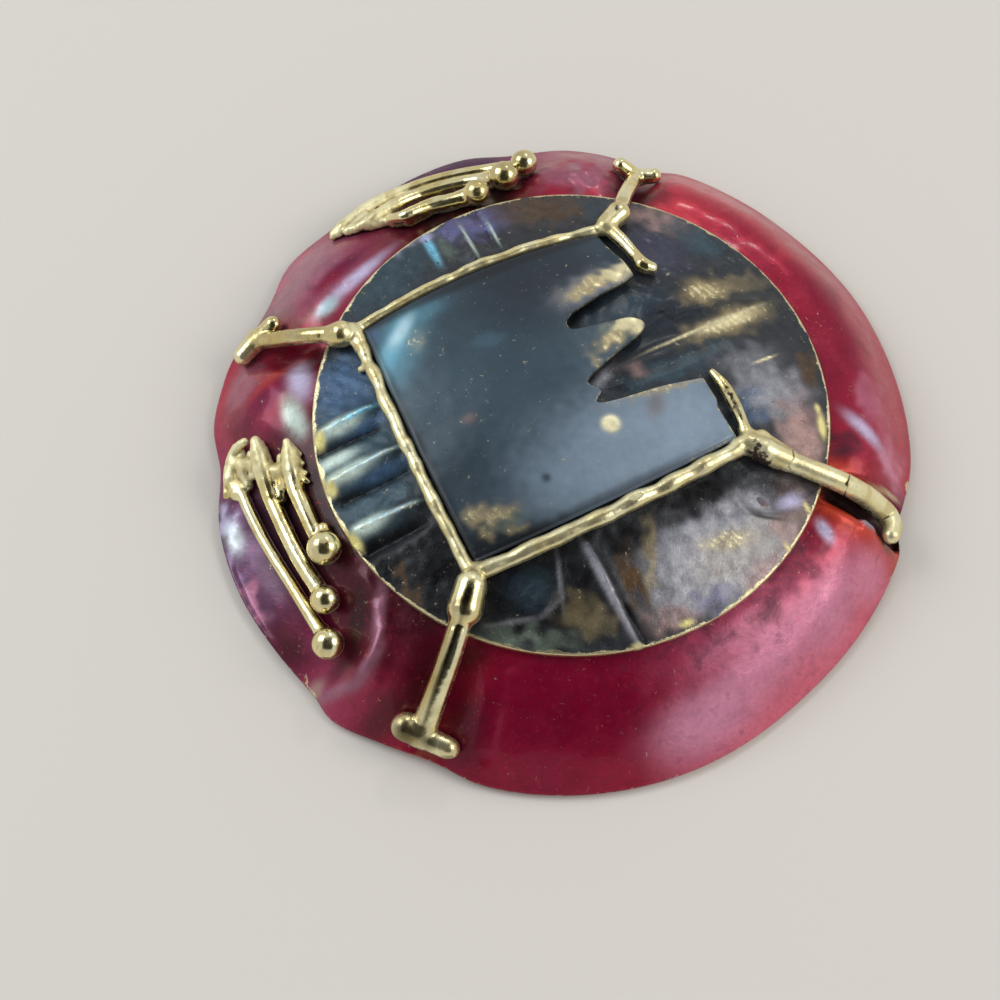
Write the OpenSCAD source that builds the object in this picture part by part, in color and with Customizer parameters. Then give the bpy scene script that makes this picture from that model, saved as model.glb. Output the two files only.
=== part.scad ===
// Brutalist brooch: a domed dish of red-patinated copper, a chased dark brass disc on it,
// a torn dark plate on the disc, brazed brass wires with four straps, two groups of bars with
// balls, and a plain pin on the hollow back.
// Millimetres. Z is up, the brooch lies on its rim at z = 0 and its outline is centred on X and Y.

/* [Dish] */
// Diameter of the round dish, before its rim waves in and out
dish_d = 68; // [66:0.5:72]
// Thickness of the copper sheet
sheet = 0.9; // [0.7:0.05:1]
// Height of the dish's shoulder, which carries the edge of the disc
shoulder_z = 7.7; // [7.4:0.1:8.4]
// Rise of the dish's middle above its shoulder
crown_rise = 3; // [2:0.1:3.2]
// How straight the flange falls from the shoulder: 1 is a cone, 0 a bowl
flange_cone = 0.44; // [0.3:0.02:0.6]

/* [Disc] */
// Diameter of the dark disc
disc_d = 48.8; // [47:0.2:49]
// How far the disc's centre lies to the right of the dish's
disc_x = 0.8; // [0.4:0.1:1]
// How far the disc's centre lies behind the dish's
disc_y = 0.4; // [0:0.1:0.8]
// Rise of the disc's middle above its edge
disc_rise = 4; // [3.8:0.1:4.6]
// Thickness of the disc's sheet
disc_t = 0.7; // [0.6:0.05:0.8]

/* [Plate] */
// Thickness of the torn plate
plate_t = 0.65; // [0.5:0.05:0.8]
// Space between the disc and the plate
plate_gap = 0.35; // [0.3:0.05:0.5]
// How much the plate's middle is pillowed
plate_pillow = 0.35; // [0:0.05:0.6]

/* [Wires] */
// Diameter of the wire along the back left side
back_wire_d = 0.95; // [0.8:0.05:1.2]
// Diameter of the wire along the left side
left_wire_d = 1.15; // [0.9:0.05:1.3]
// Diameter of the wire along the front side
front_wire_d = 1.45; // [1.1:0.05:1.6]
// Diameter of the left, right and back straps
strap_d = 1.6; // [1.4:0.05:1.8]
// Diameter of the front strap
front_strap_d = 2.4; // [2.2:0.05:2.6]

/* [Bars] */
// Diameter of the outermost left bar
thin_bar_d = 1.25; // [1:0.05:1.5]
// Diameter of the other bars
bar_d = 1.6; // [1.4:0.05:1.8]
// Largest diameter of the balls on the bars
ball_d = 3; // [2.8:0.05:3.2]

/* [Pin] */
// Length of the pin's base bar
pin_base_l = 34; // [30:1:38]
// Width of the pin's base bar
pin_base_w = 4; // [3:0.5:5]
// Diameter of the pin's wire
pin_d = 1; // [0.8:0.1:1.2]
// How far the pin lies behind the middle
pin_y = 4; // [0:1:6]

/* [Hidden] */

// Space kept between pieces that lie on each other
seat = 0.1;
dish_r = dish_d / 2;
disc_r = disc_d / 2;
shoulder_r = disc_r - 0.4;
disc_z = shoulder_z + seat + disc_t;

// Rows round the flange: angle, how far the rim lies out of the round, how high its edge lies,
// how much the flange bulges
RIM = [
    [0, 0.1, 0.5, 1.3],
    [15, 0.2, 0.6, 1.3],
    [30, 0.3, 0.8, 1.3],
    [45, 0.1, 1.0, 1.2],
    [58, 0.2, 1.0, 1.2],
    [68, 0.2, 1.0, 0.9],
    [74, -0.8, 1.4, 0.0],
    [80, -0.1, 1.6, 0.9],
    [88, 0.4, 1.5, 1.4],
    [94, 0.2, 1.5, 0.7],
    [99, 0.2, 1.3, -0.3],
    [106, 0.8, 1.2, -0.6],
    [116, 0.5, 1.2, -0.6],
    [126, -0.1, 1.2, -0.3],
    [134, 0.1, 1.0, 0.6],
    [143, 0.3, 0.9, 1.5],
    [151, -0.8, 1.1, 1.5],
    [158, -0.9, 1.3, 0.6],
    [163, -0.2, 1.2, 0.0],
    [169, 0.0, 0.9, 1.2],
    [176, 0.0, 0.6, 1.6],
    [184, -0.9, 0.5, 0.7],
    [194, -0.2, 0.5, -0.5],
    [206, 0.0, 0.4, -0.8],
    [218, -0.1, 0.2, -0.7],
    [227, 0.1, 0.1, -0.2],
    [232, 0.8, 0.0, 0.2],
    [240, 0.2, 0.3, 0.5],
    [249, -0.2, 0.5, 0.0],
    [257, 0.5, 0.2, 0.5],
    [270, 0.6, 0.0, 0.4],
    [290, 0.3, 0.0, 0.3],
    [311, -0.4, 0.0, 0.3],
    [325, -0.3, 0.2, 0.5],
    [336, -0.1, 0.6, 1.0],
    [341, -0.1, 1.0, 0.9],
    [345, -0.9, 1.2, 0.0],
    [350, -0.6, 0.8, 1.1],
    [355, -0.1, 0.5, 1.3]
];

// Dents and ridges of the flange: angle, inset from the nominal rim, height, half length along
// the flange, half width across it
DENTS = [
    [163, 5.0, -1.3, 2.0, 4.0],
    [248, 4.5, -1.2, 2.4, 4.0],
    [345, 4.0, -2.4, 1.7, 5.0],
    [74.5, 4.5, -1.4, 2.0, 4.0],
    [205, 3.8, -1.3, 8.5, 3.2],
    [109, 3.2, -1.6, 9.5, 3.2],
    [232.5, 4.0, 0.9, 1.4, 3.0]
];

// Chased lines of the disc: x and y of both ends, height, half width
CHASING = [
    [-22.3, -2.0, -18.6, -0.3, 0.35, 0.8],
    [-22.6, -4.1, -18.0, -2.4, -0.3, 0.7],
    [-21.5, -7.1, -16.6, -4.9, 0.4, 0.8],
    [-20.3, -9.1, -15.4, -7.0, -0.3, 0.7],
    [-19.0, -12.0, -14.3, -10.3, 0.4, 0.8],
    [-18.0, -14.2, -13.4, -12.1, -0.3, 0.7],
    [2.0, -14.4, 6.6, -23.4, 0.35, 0.8],
    [5.1, -20.3, 7.3, -23.0, -0.3, 0.7],
    [-10.0, 20.1, -8.2, 16.3, 0.3, 0.8],
    [-8.3, 22.4, -6.4, 18.0, -0.25, 0.7],
    [17.6, -8.6, 18.4, -9.2, -0.4, 1.9],
    [9.0, 9.5, 19.5, 12.0, 0.3, 0.8],
    [5.6, 1.6, 15.4, 6.8, 0.3, 0.8]
];

// Corners of the plate's four sides, where the wires meet: x, y
FRONT_CORNER = [-8.4, -17.2];
LEFT_CORNER = [-19.7, 8.4];
RIGHT_CORNER = [17.0, -4.3];
BACK_CORNER = [4.0, 19.2];

// How far each side bows outwards
left_bow = 0.5;
front_bow = 0.8;
back_bow = 1.0;

// The plate's torn edge: share of the way from front to back, share of the way to the right
TEAR = [
    [0.00, 1.00],
    [0.14, 1.00],
    [0.26, 1.01],
    [0.285, 0.86],
    [0.305, 0.71],
    [0.36, 0.67],
    [0.43, 0.68],
    [0.47, 0.79],
    [0.51, 0.90],
    [0.56, 0.93],
    [0.59, 0.86],
    [0.61, 0.73],
    [0.64, 0.70],
    [0.68, 0.73],
    [0.71, 0.84],
    [0.75, 0.99],
    [0.82, 1.01],
    [0.91, 1.00],
    [1.00, 0.99]
];

// Curled lips and edges of the plate: x, y, height, half width
LIPS = [
    [3.2, 11.6, 0.5, 1.8],
    [6.6, 14.2, 0.4, 1.6],
    [6.6, 7.6, 0.45, 1.6],
    [9.0, 0.4, 0.2, 2.2]
];

// Knots and feet of the brazed frame, one row each from lump to lump: x, y, radius, x, y, radius
KNOTS = [
    [-21.2, 7.9, 1.05, -19.9, 8.2, 1.0],
    [-8.6, -18.4, 1.2, -9.1, -20.6, 1.3],
    [16.9, -4.3, 0.8, 18.4, -5.1, 1.1],
    [18.4, -5.1, 1.1, 20.4, -5.7, 0.9],
    [4.3, 19.4, 0.9, 5.7, 21.0, 1.1],
    [-28.1, 11.4, 0.8, -29.8, 10.4, 0.95],
    [-29.8, 10.4, 0.95, -31.1, 9.0, 0.9],
    [-14.8, -29.1, 0.9, -13.0, -29.8, 1.1],
    [-13.0, -29.8, 1.1, -10.6, -30.9, 0.95],
    [6.3, 29.8, 0.75, 7.9, 29.2, 0.85],
    [7.9, 29.2, 0.85, 9.7, 29.0, 0.7]
];

// Straps and stubs, each a list of stations: x, y, height above its seat, radius
LEFT_STRAP = [
    [-20.6, 8.0, 0.2, strap_d / 2],
    [-23.0, 8.0, 0.9, strap_d / 2],
    [-29.8, 10.4, 0.1, strap_d / 2]
];
FRONT_STRAP = [
    [-9.0, -20.0, 0.4, front_strap_d / 2],
    [-9.8, -22.6, 1.3, front_strap_d / 2],
    [-13.0, -29.8, 0.0, front_strap_d / 2]
];
RIGHT_STRAP = [
    [19.6, -5.5, 0.1, strap_d / 2],
    [22.5, -6.3, 0.1, strap_d / 2],
    [25.2, -7.0, 1.5, strap_d / 2 + 0.05],
    [29.5, -7.5, 0.6, strap_d / 2 + 0.15],
    [30.9, -8.2, 0.6, strap_d / 2 + 0.15],
    [31.2, -9.4, 0.3, strap_d / 2 + 0.05],
    [30.9, -10.4, 0.0, strap_d / 2]
];
BACK_STRAP = [
    [5.6, 20.9, 0.4, strap_d / 2],
    [6.3, 23.5, 0.4, strap_d / 2 - 0.05],
    [6.9, 25.4, 1.1, strap_d / 2 - 0.05],
    [7.9, 29.1, 0.1, strap_d / 2]
];
RIGHT_STUB = [
    [16.9, -4.3, 0.1, 0.7],
    [16.5, -2.2, 0.1, 0.55],
    [15.8, -0.4, 0.1, 0.6],
    [14.8, 1.6, 0.1, 0.55],
    [13.9, 2.9, 0.1, 0.35]
];
BACK_STUB = [
    [4.5, 19.4, 0.1, 0.75],
    [6.0, 17.5, 0.1, 0.65],
    [7.2, 15.7, 0.1, 0.6],
    [7.9, 14.5, 0.1, 0.75],
    [8.6, 14.4, 0.1, 0.6]
];

// Bars, each a list of stations from the root to the ball: x, y, height above its seat, radius
LEFT_BARS = [
    [
        [-31.3, -3.3, 0.1, thin_bar_d / 2],
        [-29.8, -7.2, 0.1, thin_bar_d / 2],
        [-28.1, -10.6, 0.2, thin_bar_d / 2],
        [-25.1, -15.6, 0.2, thin_bar_d / 2],
        [-22.0, -20.7, 0.1, thin_bar_d / 2 + 0.1]
    ],
    [
        [-28.6, -2.9, 0.0, bar_d / 2 + 0.1],
        [-27.8, -6.2, 0.1, bar_d / 2],
        [-26.5, -9.2, 0.2, bar_d / 2],
        [-24.1, -14.0, 0.2, bar_d / 2],
        [-22.3, -16.8, 0.1, bar_d / 2]
    ],
    [
        [-25.6, -3.5, 0.0, bar_d / 2],
        [-25.3, -6.1, 0.0, bar_d / 2],
        [-24.2, -8.8, 0.0, bar_d / 2],
        [-22.6, -12.4, 0.0, bar_d / 2 - 0.1]
    ]
];
LEFT_BALLS = [
    [-21.6, -21.6, 0.0, ball_d / 2],
    [-21.9, -17.7, 0.0, ball_d / 2 - 0.15],
    [-22.0, -13.4, 0.0, ball_d / 2 + 0.1]
];
TOP_BARS = [
    [
        [-15.4, 23.3, 0.0, bar_d / 2],
        [-13.1, 24.3, 0.1, bar_d / 2],
        [-9.0, 25.1, 0.1, bar_d / 2]
    ],
    [
        [-18.6, 23.9, 0.0, bar_d / 2],
        [-15.2, 26.9, 0.1, bar_d / 2],
        [-12.3, 28.1, 0.2, bar_d / 2],
        [-8.8, 28.7, 0.2, bar_d / 2],
        [-6.2, 28.4, 0.2, bar_d / 2]
    ],
    [
        [-21.8, 23.4, 0.0, bar_d / 2 - 0.1],
        [-18.0, 26.9, 0.1, bar_d / 2 - 0.1],
        [-15.1, 28.6, 0.1, bar_d / 2 - 0.1],
        [-11.4, 30.0, 0.1, bar_d / 2 - 0.1],
        [-7.4, 30.7, 0.1, bar_d / 2 - 0.1],
        [-4.2, 30.2, 0.1, bar_d / 2]
    ]
];
TOP_BALLS = [
    [-8.2, 25.3, 0.0, ball_d / 2 - 0.2],
    [-5.5, 27.9, 0.0, ball_d / 2],
    [-3.5, 29.8, 0.0, ball_d / 2 - 0.15]
];

// Brazed crusts that join the roots, one row each from lump to lump: x, y, radius, x, y, radius
LEFT_CRUST = [
    [-31.2, -1.0, 0.5, -31.4, -4.1, 0.95],
    [-28.8, -1.4, 0.45, -28.5, -4.4, 0.95],
    [-25.8, -2.3, 0.45, -25.3, -5.4, 0.9],
    [-30.9, -2.9, 0.7, -28.6, -3.1, 0.8],
    [-28.4, -3.6, 0.8, -26.8, -4.6, 0.7],
    [-26.8, -4.6, 0.7, -25.4, -4.6, 0.9],
    [-25.2, -4.2, 0.6, -24.4, -6.0, 0.4],
    [-31.3, -3.8, 0.7, -30.4, -6.0, 0.7]
];
TOP_CRUST = [
    [-22.7, 22.5, 0.35, -21.0, 24.2, 0.8],
    [-21.2, 22.7, 0.5, -19.4, 24.6, 0.9],
    [-19.2, 23.2, 0.8, -17.6, 25.2, 0.9],
    [-17.6, 24.8, 0.8, -16.4, 23.2, 0.8],
    [-16.4, 23.2, 0.8, -14.9, 23.0, 0.9],
    [-14.9, 22.9, 0.8, -13.6, 23.8, 0.9],
    [-20.2, 25.0, 0.8, -18.2, 26.8, 0.8],
    [-18.4, 25.2, 0.8, -16.6, 26.2, 0.8]
];

// Facets round a wire and round a ball
wire_sides = 10;
ball_sides = 14;
lump_sides = 8;

// Radii, as shares of the shoulder's, and stations across the flange, where the dish has points
CAP_RINGS = [0.33, 0.66, 0.88];
CAP_RINGS_BELOW = [0.4, 0.75];
FLANGE_RINGS = [0, 0.13, 0.26, 0.38, 0.5, 0.62, 0.74, 0.87, 1];
FLANGE_RINGS_BELOW = [0, 0.3, 0.55, 0.8, 1];
DISC_RINGS = [0.2, 0.38, 0.52, 0.62, 0.7, 0.76, 0.82, 0.88, 0.93, 0.97, 1];
DISC_RINGS_BELOW = [0.4, 0.8, 1];
dish_spokes = 144;
disc_spokes = 84;
plate_columns = 14;

// Angle from 0 to 360
function wrap(a) = a - 360 * floor(a / 360);

// Row i of a table that goes round, with its angle carried past the full turn
function round_row(table, i, column) =
    let (n = len(table), turn = floor(i / n), row = table[i - n * turn])
    [row[0] + 360 * turn, row[column]];

// Smooth curve through a column of a table that goes round, at angle a
function around(table, column, a) =
    let (
        w = wrap(a),
        i = len([for (row = table) if (row[0] <= w) 1]) - 1,
        p0 = round_row(table, i - 1, column),
        p1 = round_row(table, i, column),
        p2 = round_row(table, i + 1, column),
        p3 = round_row(table, i + 2, column),
        h = p2[0] - p1[0],
        u = (w - p1[0]) / h,
        m1 = (p2[1] - p0[1]) / (p2[0] - p0[0]) * h,
        m2 = (p3[1] - p1[1]) / (p3[0] - p1[0]) * h
    )
    (2 * u * u * u - 3 * u * u + 1) * p1[1] + (u * u * u - 2 * u * u + u) * m1
    + (3 * u * u - 2 * u * u * u) * p2[1] + (u * u * u - u * u) * m2;

function rim_r(a) = dish_r + around(RIM, 1, a);

// The shoulder is a circle about the disc's middle, here measured from the dish's
function shoulder(a) = shoulder_r + disc_x * cos(a) + disc_y * sin(a);

// Distance from the middle at station t, from the shoulder to the rim
function flange_r(t, a) = shoulder(a) + t * (rim_r(a) - shoulder(a));

// Height of all dents at a place of the flange
function dents(r, a) = sum([
    for (d = DENTS)
        let (
            middle = dish_r - d[1],
            off = wrap(a - d[0] + 180) - 180,
            along = off * PI / 180 * middle / d[3],
            across = (r - middle) / d[4]
        )
        d[2] * exp(-along * along - across * across)
]);

function sum(list, i = 0) = i < len(list) ? list[i] + sum(list, i + 1) : 0;

// How steep the flange falls at station t, without its bulges and dents
function flange_fall(t, a) =
    (shoulder_z - rim_top(a)) / (rim_r(a) - shoulder(a)) * (flange_cone + 2 * (1 - flange_cone) * t);

// Height of the sheet's upper face at the rim: the edge below it is square to the sheet
function rim_top(a) = around(RIM, 2, a) + 0.7 * sheet;

// Height of the flange's upper face at station t from the shoulder to the rim
function flange_top(t, a) =
    let (
        r = flange_r(t, a),
        hump = 16 * t * t * (1 - t) * (1 - t),
        keep = min(1, 1.6 * sqrt(max(0, t * (1 - t))))
    )
    shoulder_z - (shoulder_z - rim_top(a)) * (flange_cone * t + (1 - flange_cone) * t * t)
    + around(RIM, 3, a) * hump + dents(r, a) * keep;

// Points of the dish: upper face, then lower face, both along rings
function flange_point(t, a) =
    let (r = flange_r(t, a))
    [r * cos(a), r * sin(a), flange_top(t, a)];
function flange_point_below(t, a) =
    let (
        tilt = atan(flange_fall(t, a)),
        r = flange_r(t, a) - sheet * sin(tilt)
    )
    [r * cos(a), r * sin(a), flange_top(t, a) - sheet * cos(tilt)];
function cap_z(share) = shoulder_z + crown_rise * (1 - share * share);
function cap_point(share, a) =
    [share * shoulder(a) * cos(a), share * shoulder(a) * sin(a), cap_z(share)];

SPOKES = [for (k = [0:dish_spokes - 1]) 360 * k / dish_spokes];
RIM_EDGE = [for (a = SPOKES) flange_point_below(1, a)];
RIM_OUTER = [for (a = SPOKES) flange_point(1, a)];

// The rim's lowest point lies on the floor, and the outline's middle is the origin
drop = min([for (p = RIM_EDGE) p[2]]);
mid_x = (max([for (p = RIM_OUTER) p[0]]) + min([for (p = RIM_OUTER) p[0]])) / 2;
mid_y = (max([for (p = RIM_OUTER) p[1]]) + min([for (p = RIM_OUTER) p[1]])) / 2;

// Height of the dish's upper face at a place
function dish_top(x, y) =
    let (r = norm([x, y]), a = atan2(y, x))
    r <= shoulder(a) ? cap_z(r / shoulder(a))
    : flange_top((r - shoulder(a)) / (rim_r(a) - shoulder(a)), a);

// Distance of a place from a chased line
function line_distance(p, row) =
    let (
        a = [row[0], row[1]],
        b = [row[2], row[3]],
        s = max(0, min(1, (p - a) * (b - a) / ((b - a) * (b - a))))
    )
    norm(p - a - s * (b - a));

function chasing(x, y) = sum([
    for (row = CHASING)
        let (d = line_distance([x, y], row) / row[5])
        row[4] * exp(-d * d)
]);

function disc_dome(x, y) =
    let (share = norm([x - disc_x, y - disc_y]) / disc_r)
    disc_z + disc_rise * (1 - share * share);

function disc_top(x, y) = disc_dome(x, y) + chasing(x, y);

// Whatever lies uppermost below a wire at a place
function below_wire(x, y) =
    norm([x - disc_x, y - disc_y]) <= disc_r ? disc_top(x, y) : dish_top(x, y);

// Height of the middle of a ball of radius r that rests on what lies below it
function rest_z(x, y, r) = max([
    for (share = [0, 0.4, 0.7, 0.9], a = [0:45:315])
        below_wire(x + share * r * cos(a), y + share * r * sin(a)) + r * sqrt(1 - share * share)
]);

// A station [x, y, height above its seat, radius] as a point in space with its radius
function seated(row) =
    [row[0], row[1], rest_z(row[0], row[1], row[3]) + seat + row[2], row[3]];

// Direction square to the side from a to b, away from the middle
function outward(a, b) =
    let (n = [b[1] - a[1], a[0] - b[0]] / norm(b - a))
    n * (a + b) > 0 ? n : -n;

function bow(s) = 4 * s * (1 - s);

// A place on the plate: u from the left side to the torn side, v from front to back
function plate_place(u, v) =
    (1 - u) * (1 - v) * FRONT_CORNER + (1 - u) * v * LEFT_CORNER
    + u * (1 - v) * RIGHT_CORNER + u * v * BACK_CORNER
    + (1 - u) * bow(v) * left_bow * outward(FRONT_CORNER, LEFT_CORNER)
    + (1 - v) * bow(u) * front_bow * outward(FRONT_CORNER, RIGHT_CORNER)
    + v * bow(u) * back_bow * outward(LEFT_CORNER, BACK_CORNER);

function lips(p) = sum([
    for (row = LIPS)
        let (d = norm(p - [row[0], row[1]]) / row[3])
        row[2] * exp(-d * d)
]);

function plate_top(u, v) =
    let (p = plate_place(u, v))
    disc_dome(p[0], p[1]) + plate_gap + plate_t
    + plate_pillow * bow(min(1, u)) * bow(v) + lips(p);

// A solid between an upper and a lower face, each a middle point and rings that end alike
module shell(top_middle, top_rings, below_middle, below_rings) {
    n = len(top_rings[0]);
    points = concat(
        [top_middle],
        [for (ring = top_rings) each ring],
        [below_middle],
        [for (ring = below_rings) each ring]
    );
    below = 1 + n * len(top_rings);
    function top_at(i, k) = 1 + i * n + k % n;
    function below_at(i, k) = below + 1 + i * n + k % n;
    last_top = len(top_rings) - 1;
    last_below = len(below_rings) - 1;
    faces = concat(
        [for (k = [0:n - 1]) [0, top_at(0, k + 1), top_at(0, k)]],
        [
            for (i = [0:last_top - 1], k = [0:n - 1])
                each [
                    [top_at(i, k), top_at(i, k + 1), top_at(i + 1, k + 1)],
                    [top_at(i, k), top_at(i + 1, k + 1), top_at(i + 1, k)]
                ]
        ],
        [
            for (k = [0:n - 1])
                each [
                    [top_at(last_top, k), top_at(last_top, k + 1), below_at(last_below, k + 1)],
                    [top_at(last_top, k), below_at(last_below, k + 1), below_at(last_below, k)]
                ]
        ],
        [
            for (i = [0:last_below - 1], k = [0:n - 1])
                each [
                    [below_at(i, k), below_at(i + 1, k + 1), below_at(i, k + 1)],
                    [below_at(i, k), below_at(i + 1, k), below_at(i + 1, k + 1)]
                ]
        ],
        [for (k = [0:n - 1]) [below, below_at(0, k), below_at(0, k + 1)]]
    );
    polyhedron(points, faces, convexity = 6);
}

// A round bar through stations [x, y, z, radius]
module rod(path) {
    n = len(path);
    function place(i) = [path[i][0], path[i][1], path[i][2]];
    function ring(i) =
        let (
            along = place(min(i + 1, n - 1)) - place(max(i - 1, 0)),
            side = cross(along, [0, 0, 1]) / norm(cross(along, [0, 0, 1])),
            up = cross(side, along) / norm(along)
        )
        [
            for (k = [0:wire_sides - 1])
                let (a = 360 * k / wire_sides)
                place(i) + path[i][3] * (cos(a) * side + sin(a) * up)
        ];
    function at(i, k) = i * wire_sides + k % wire_sides;
    points = [for (i = [0:n - 1]) each ring(i)];
    faces = concat(
        [[for (k = [wire_sides - 1:-1:0]) k]],
        [
            for (i = [0:n - 2], k = [0:wire_sides - 1])
                each [
                    [at(i, k), at(i + 1, k + 1), at(i + 1, k)],
                    [at(i, k), at(i, k + 1), at(i + 1, k + 1)]
                ]
        ],
        [[for (k = [0:wire_sides - 1]) at(n - 1, k)]]
    );
    polyhedron(points, faces, convexity = 4);
}

module seated_rod(rows) rod([for (row = rows) seated(row)]);

module seated_ball(row, sides) {
    p = seated(row);
    translate([p[0], p[1], p[2]]) sphere(p[3], $fn = sides);
}

// A brazed lump between two seated balls, from a row [x, y, radius, x, y, radius]
module lump(row) {
    hull() {
        seated_ball([row[0], row[1], 0, row[2]], lump_sides);
        seated_ball([row[3], row[4], 0, row[5]], lump_sides);
    }
}

// Stations of a brazed wire along one side of the plate, a little uneven in its thickness
function side_wire(places, d, phase) = [
    for (i = [0:len(places) - 1])
        let (
            s = i / (len(places) - 1),
            wave = 0.1 * sin(360 * (2.7 * s + phase)) + 0.07 * sin(360 * (6.1 * s + phase))
        )
        [places[i][0], places[i][1], 0.05, d / 2 * (1 + wave)]
];

module centred() translate([-mid_x, -mid_y, -drop]) children();

module dish() {
    color("firebrick")
        centred()
            shell(
                [0, 0, cap_z(0)],
                concat(
                    [for (share = CAP_RINGS) [for (a = SPOKES) cap_point(share, a)]],
                    [for (t = FLANGE_RINGS) [for (a = SPOKES) flange_point(t, a)]]
                ),
                [0, 0, cap_z(0) - sheet],
                concat(
                    [
                        for (share = CAP_RINGS_BELOW)
                            [for (a = SPOKES) cap_point(share, a) - [0, 0, sheet]]
                    ],
                    [for (t = FLANGE_RINGS_BELOW) [for (a = SPOKES) flange_point_below(t, a)]]
                )
            );
}

module disc() {
    spokes = [for (k = [0:disc_spokes - 1]) 360 * k / disc_spokes];
    function place(share, a) =
        [disc_x + share * disc_r * cos(a), disc_y + share * disc_r * sin(a)];
    function top_ring(share) = [
        for (a = spokes)
            let (p = place(share, a))
            [p[0], p[1], disc_top(p[0], p[1])]
    ];
    function below_ring(share) = [
        for (a = spokes)
            let (p = place(share, a))
            [p[0], p[1], disc_dome(p[0], p[1]) - disc_t]
    ];
    color("darkslategray")
        centred()
            shell(
                [disc_x, disc_y, disc_z + disc_rise],
                [for (share = DISC_RINGS) top_ring(share)],
                [disc_x, disc_y, disc_z + disc_rise - disc_t],
                [for (share = DISC_RINGS_BELOW) below_ring(share)]
            );
}

// Shares along u and v where the plate starts, clear of the wires
inset_u = (left_wire_d / 2 + 2 * seat) / norm(RIGHT_CORNER - FRONT_CORNER);
inset_front = (front_wire_d / 2 + 2 * seat) / norm(LEFT_CORNER - FRONT_CORNER);
inset_back = (back_wire_d / 2 + 2 * seat) / norm(LEFT_CORNER - FRONT_CORNER);

module plate() {
    rows = len(TEAR);
    n = plate_columns;
    function v_at(j) = inset_front + TEAR[j][0] * (1 - inset_front - inset_back);
    function u_at(i, j) =
        inset_u + (TEAR[j][1] - 2 * inset_u) * (1 - pow(1 - i / (n - 1), 1.3));
    function point(i, j, down) =
        let (u = u_at(i, j), v = v_at(j), p = plate_place(u, v))
        [p[0], p[1], plate_top(u, v) - down];
    points = [for (down = [0, plate_t], j = [0:rows - 1], i = [0:n - 1]) point(i, j, down)];
    function at(i, j) = j * n + i;
    lower = rows * n;
    faces = [
        for (j = [0:rows - 2], i = [0:n - 2])
            each [
                [at(i, j), at(i + 1, j + 1), at(i + 1, j)],
                [at(i, j), at(i, j + 1), at(i + 1, j + 1)],
                [lower + at(i, j), lower + at(i + 1, j), lower + at(i + 1, j + 1)],
                [lower + at(i, j), lower + at(i + 1, j + 1), lower + at(i, j + 1)]
            ]
    ];
    edge = concat(
        [for (i = [0:n - 1]) at(i, 0)],
        [for (j = [1:rows - 1]) at(n - 1, j)],
        [for (i = [n - 2:-1:0]) at(i, rows - 1)],
        [for (j = [rows - 2:-1:1]) at(0, j)]
    );
    walls = [
        for (k = [0:len(edge) - 1])
            let (a = edge[k], b = edge[(k + 1) % len(edge)])
            each [[a, b, lower + b], [a, lower + b, lower + a]]
    ];
    color("slategray") centred() polyhedron(points, concat(faces, walls), convexity = 6);
}

module frame() {
    left = [for (i = [0:14]) plate_place(0, i / 14)];
    front = [for (i = [0:14]) plate_place(i / 14, 0)];
    back = [for (i = [0:13]) plate_place(i / 13, 1)];
    color("gold")
        centred()
            union() {
                seated_rod(side_wire(left, left_wire_d, 0.1));
                seated_rod(side_wire(front, front_wire_d, 0.4));
                seated_rod(side_wire(back, back_wire_d, 0.7));
                for (path = [LEFT_STRAP, FRONT_STRAP, RIGHT_STRAP, BACK_STRAP, RIGHT_STUB, BACK_STUB])
                    seated_rod(path);
                for (row = KNOTS)
                    lump(row);
            }
}

module bars(paths, balls, crust) {
    color("goldenrod")
        centred()
            union() {
                for (path = paths)
                    seated_rod(path);
                for (row = balls)
                    seated_ball(row, ball_sides);
                for (row = crust)
                    lump(row);
            }
}

module left_bars() bars(LEFT_BARS, LEFT_BALLS, LEFT_CRUST);

module top_bars() bars(TOP_BARS, TOP_BALLS, TOP_CRUST);

// The plain pin: a base bar on two posts below the dish, a hinge block, a catch and the pin's wire
base_z = 4.2;
base_t = 1;
pin_z = 2;
block_l = 3;
post_d = 3;
post_x = pin_base_l / 2 - 3;
block_h = base_z - pin_z + pin_d;

module pin_back() {
    post_r = norm([post_x + post_d / 2, pin_y + post_d / 2]);
    post_top = cap_z(post_r / (shoulder_r - disc_x)) - sheet - seat;
    color("silver")
        centred()
            translate([0, pin_y, 0]) {
                translate([-pin_base_l / 2, -pin_base_w / 2, base_z])
                    cube([pin_base_l, pin_base_w, base_t]);
                for (side = [-1, 1])
                    translate([side * post_x, 0, base_z + base_t / 2])
                        cylinder(h = post_top - base_z - base_t / 2, d = post_d, $fn = 32);
                for (side = [-1, 1])
                    translate([
                        side * (pin_base_l - block_l) / 2 - block_l / 2,
                        -pin_base_w / 4,
                        base_z - block_h + base_t / 2
                    ])
                        cube([block_l, pin_base_w / 2, block_h]);
                translate([-pin_base_l / 2 + block_l / 2, 0, pin_z + pin_d / 2])
                    rotate([0, 90, 0])
                        cylinder(h = pin_base_l - block_l, d = pin_d, $fn = 24);
            }
}

dish();
disc();
plate();
frame();
left_bars();
top_bars();
pin_back();
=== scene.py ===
"""Looks of the brutalist brooch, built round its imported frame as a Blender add-on run as a script."""

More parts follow.
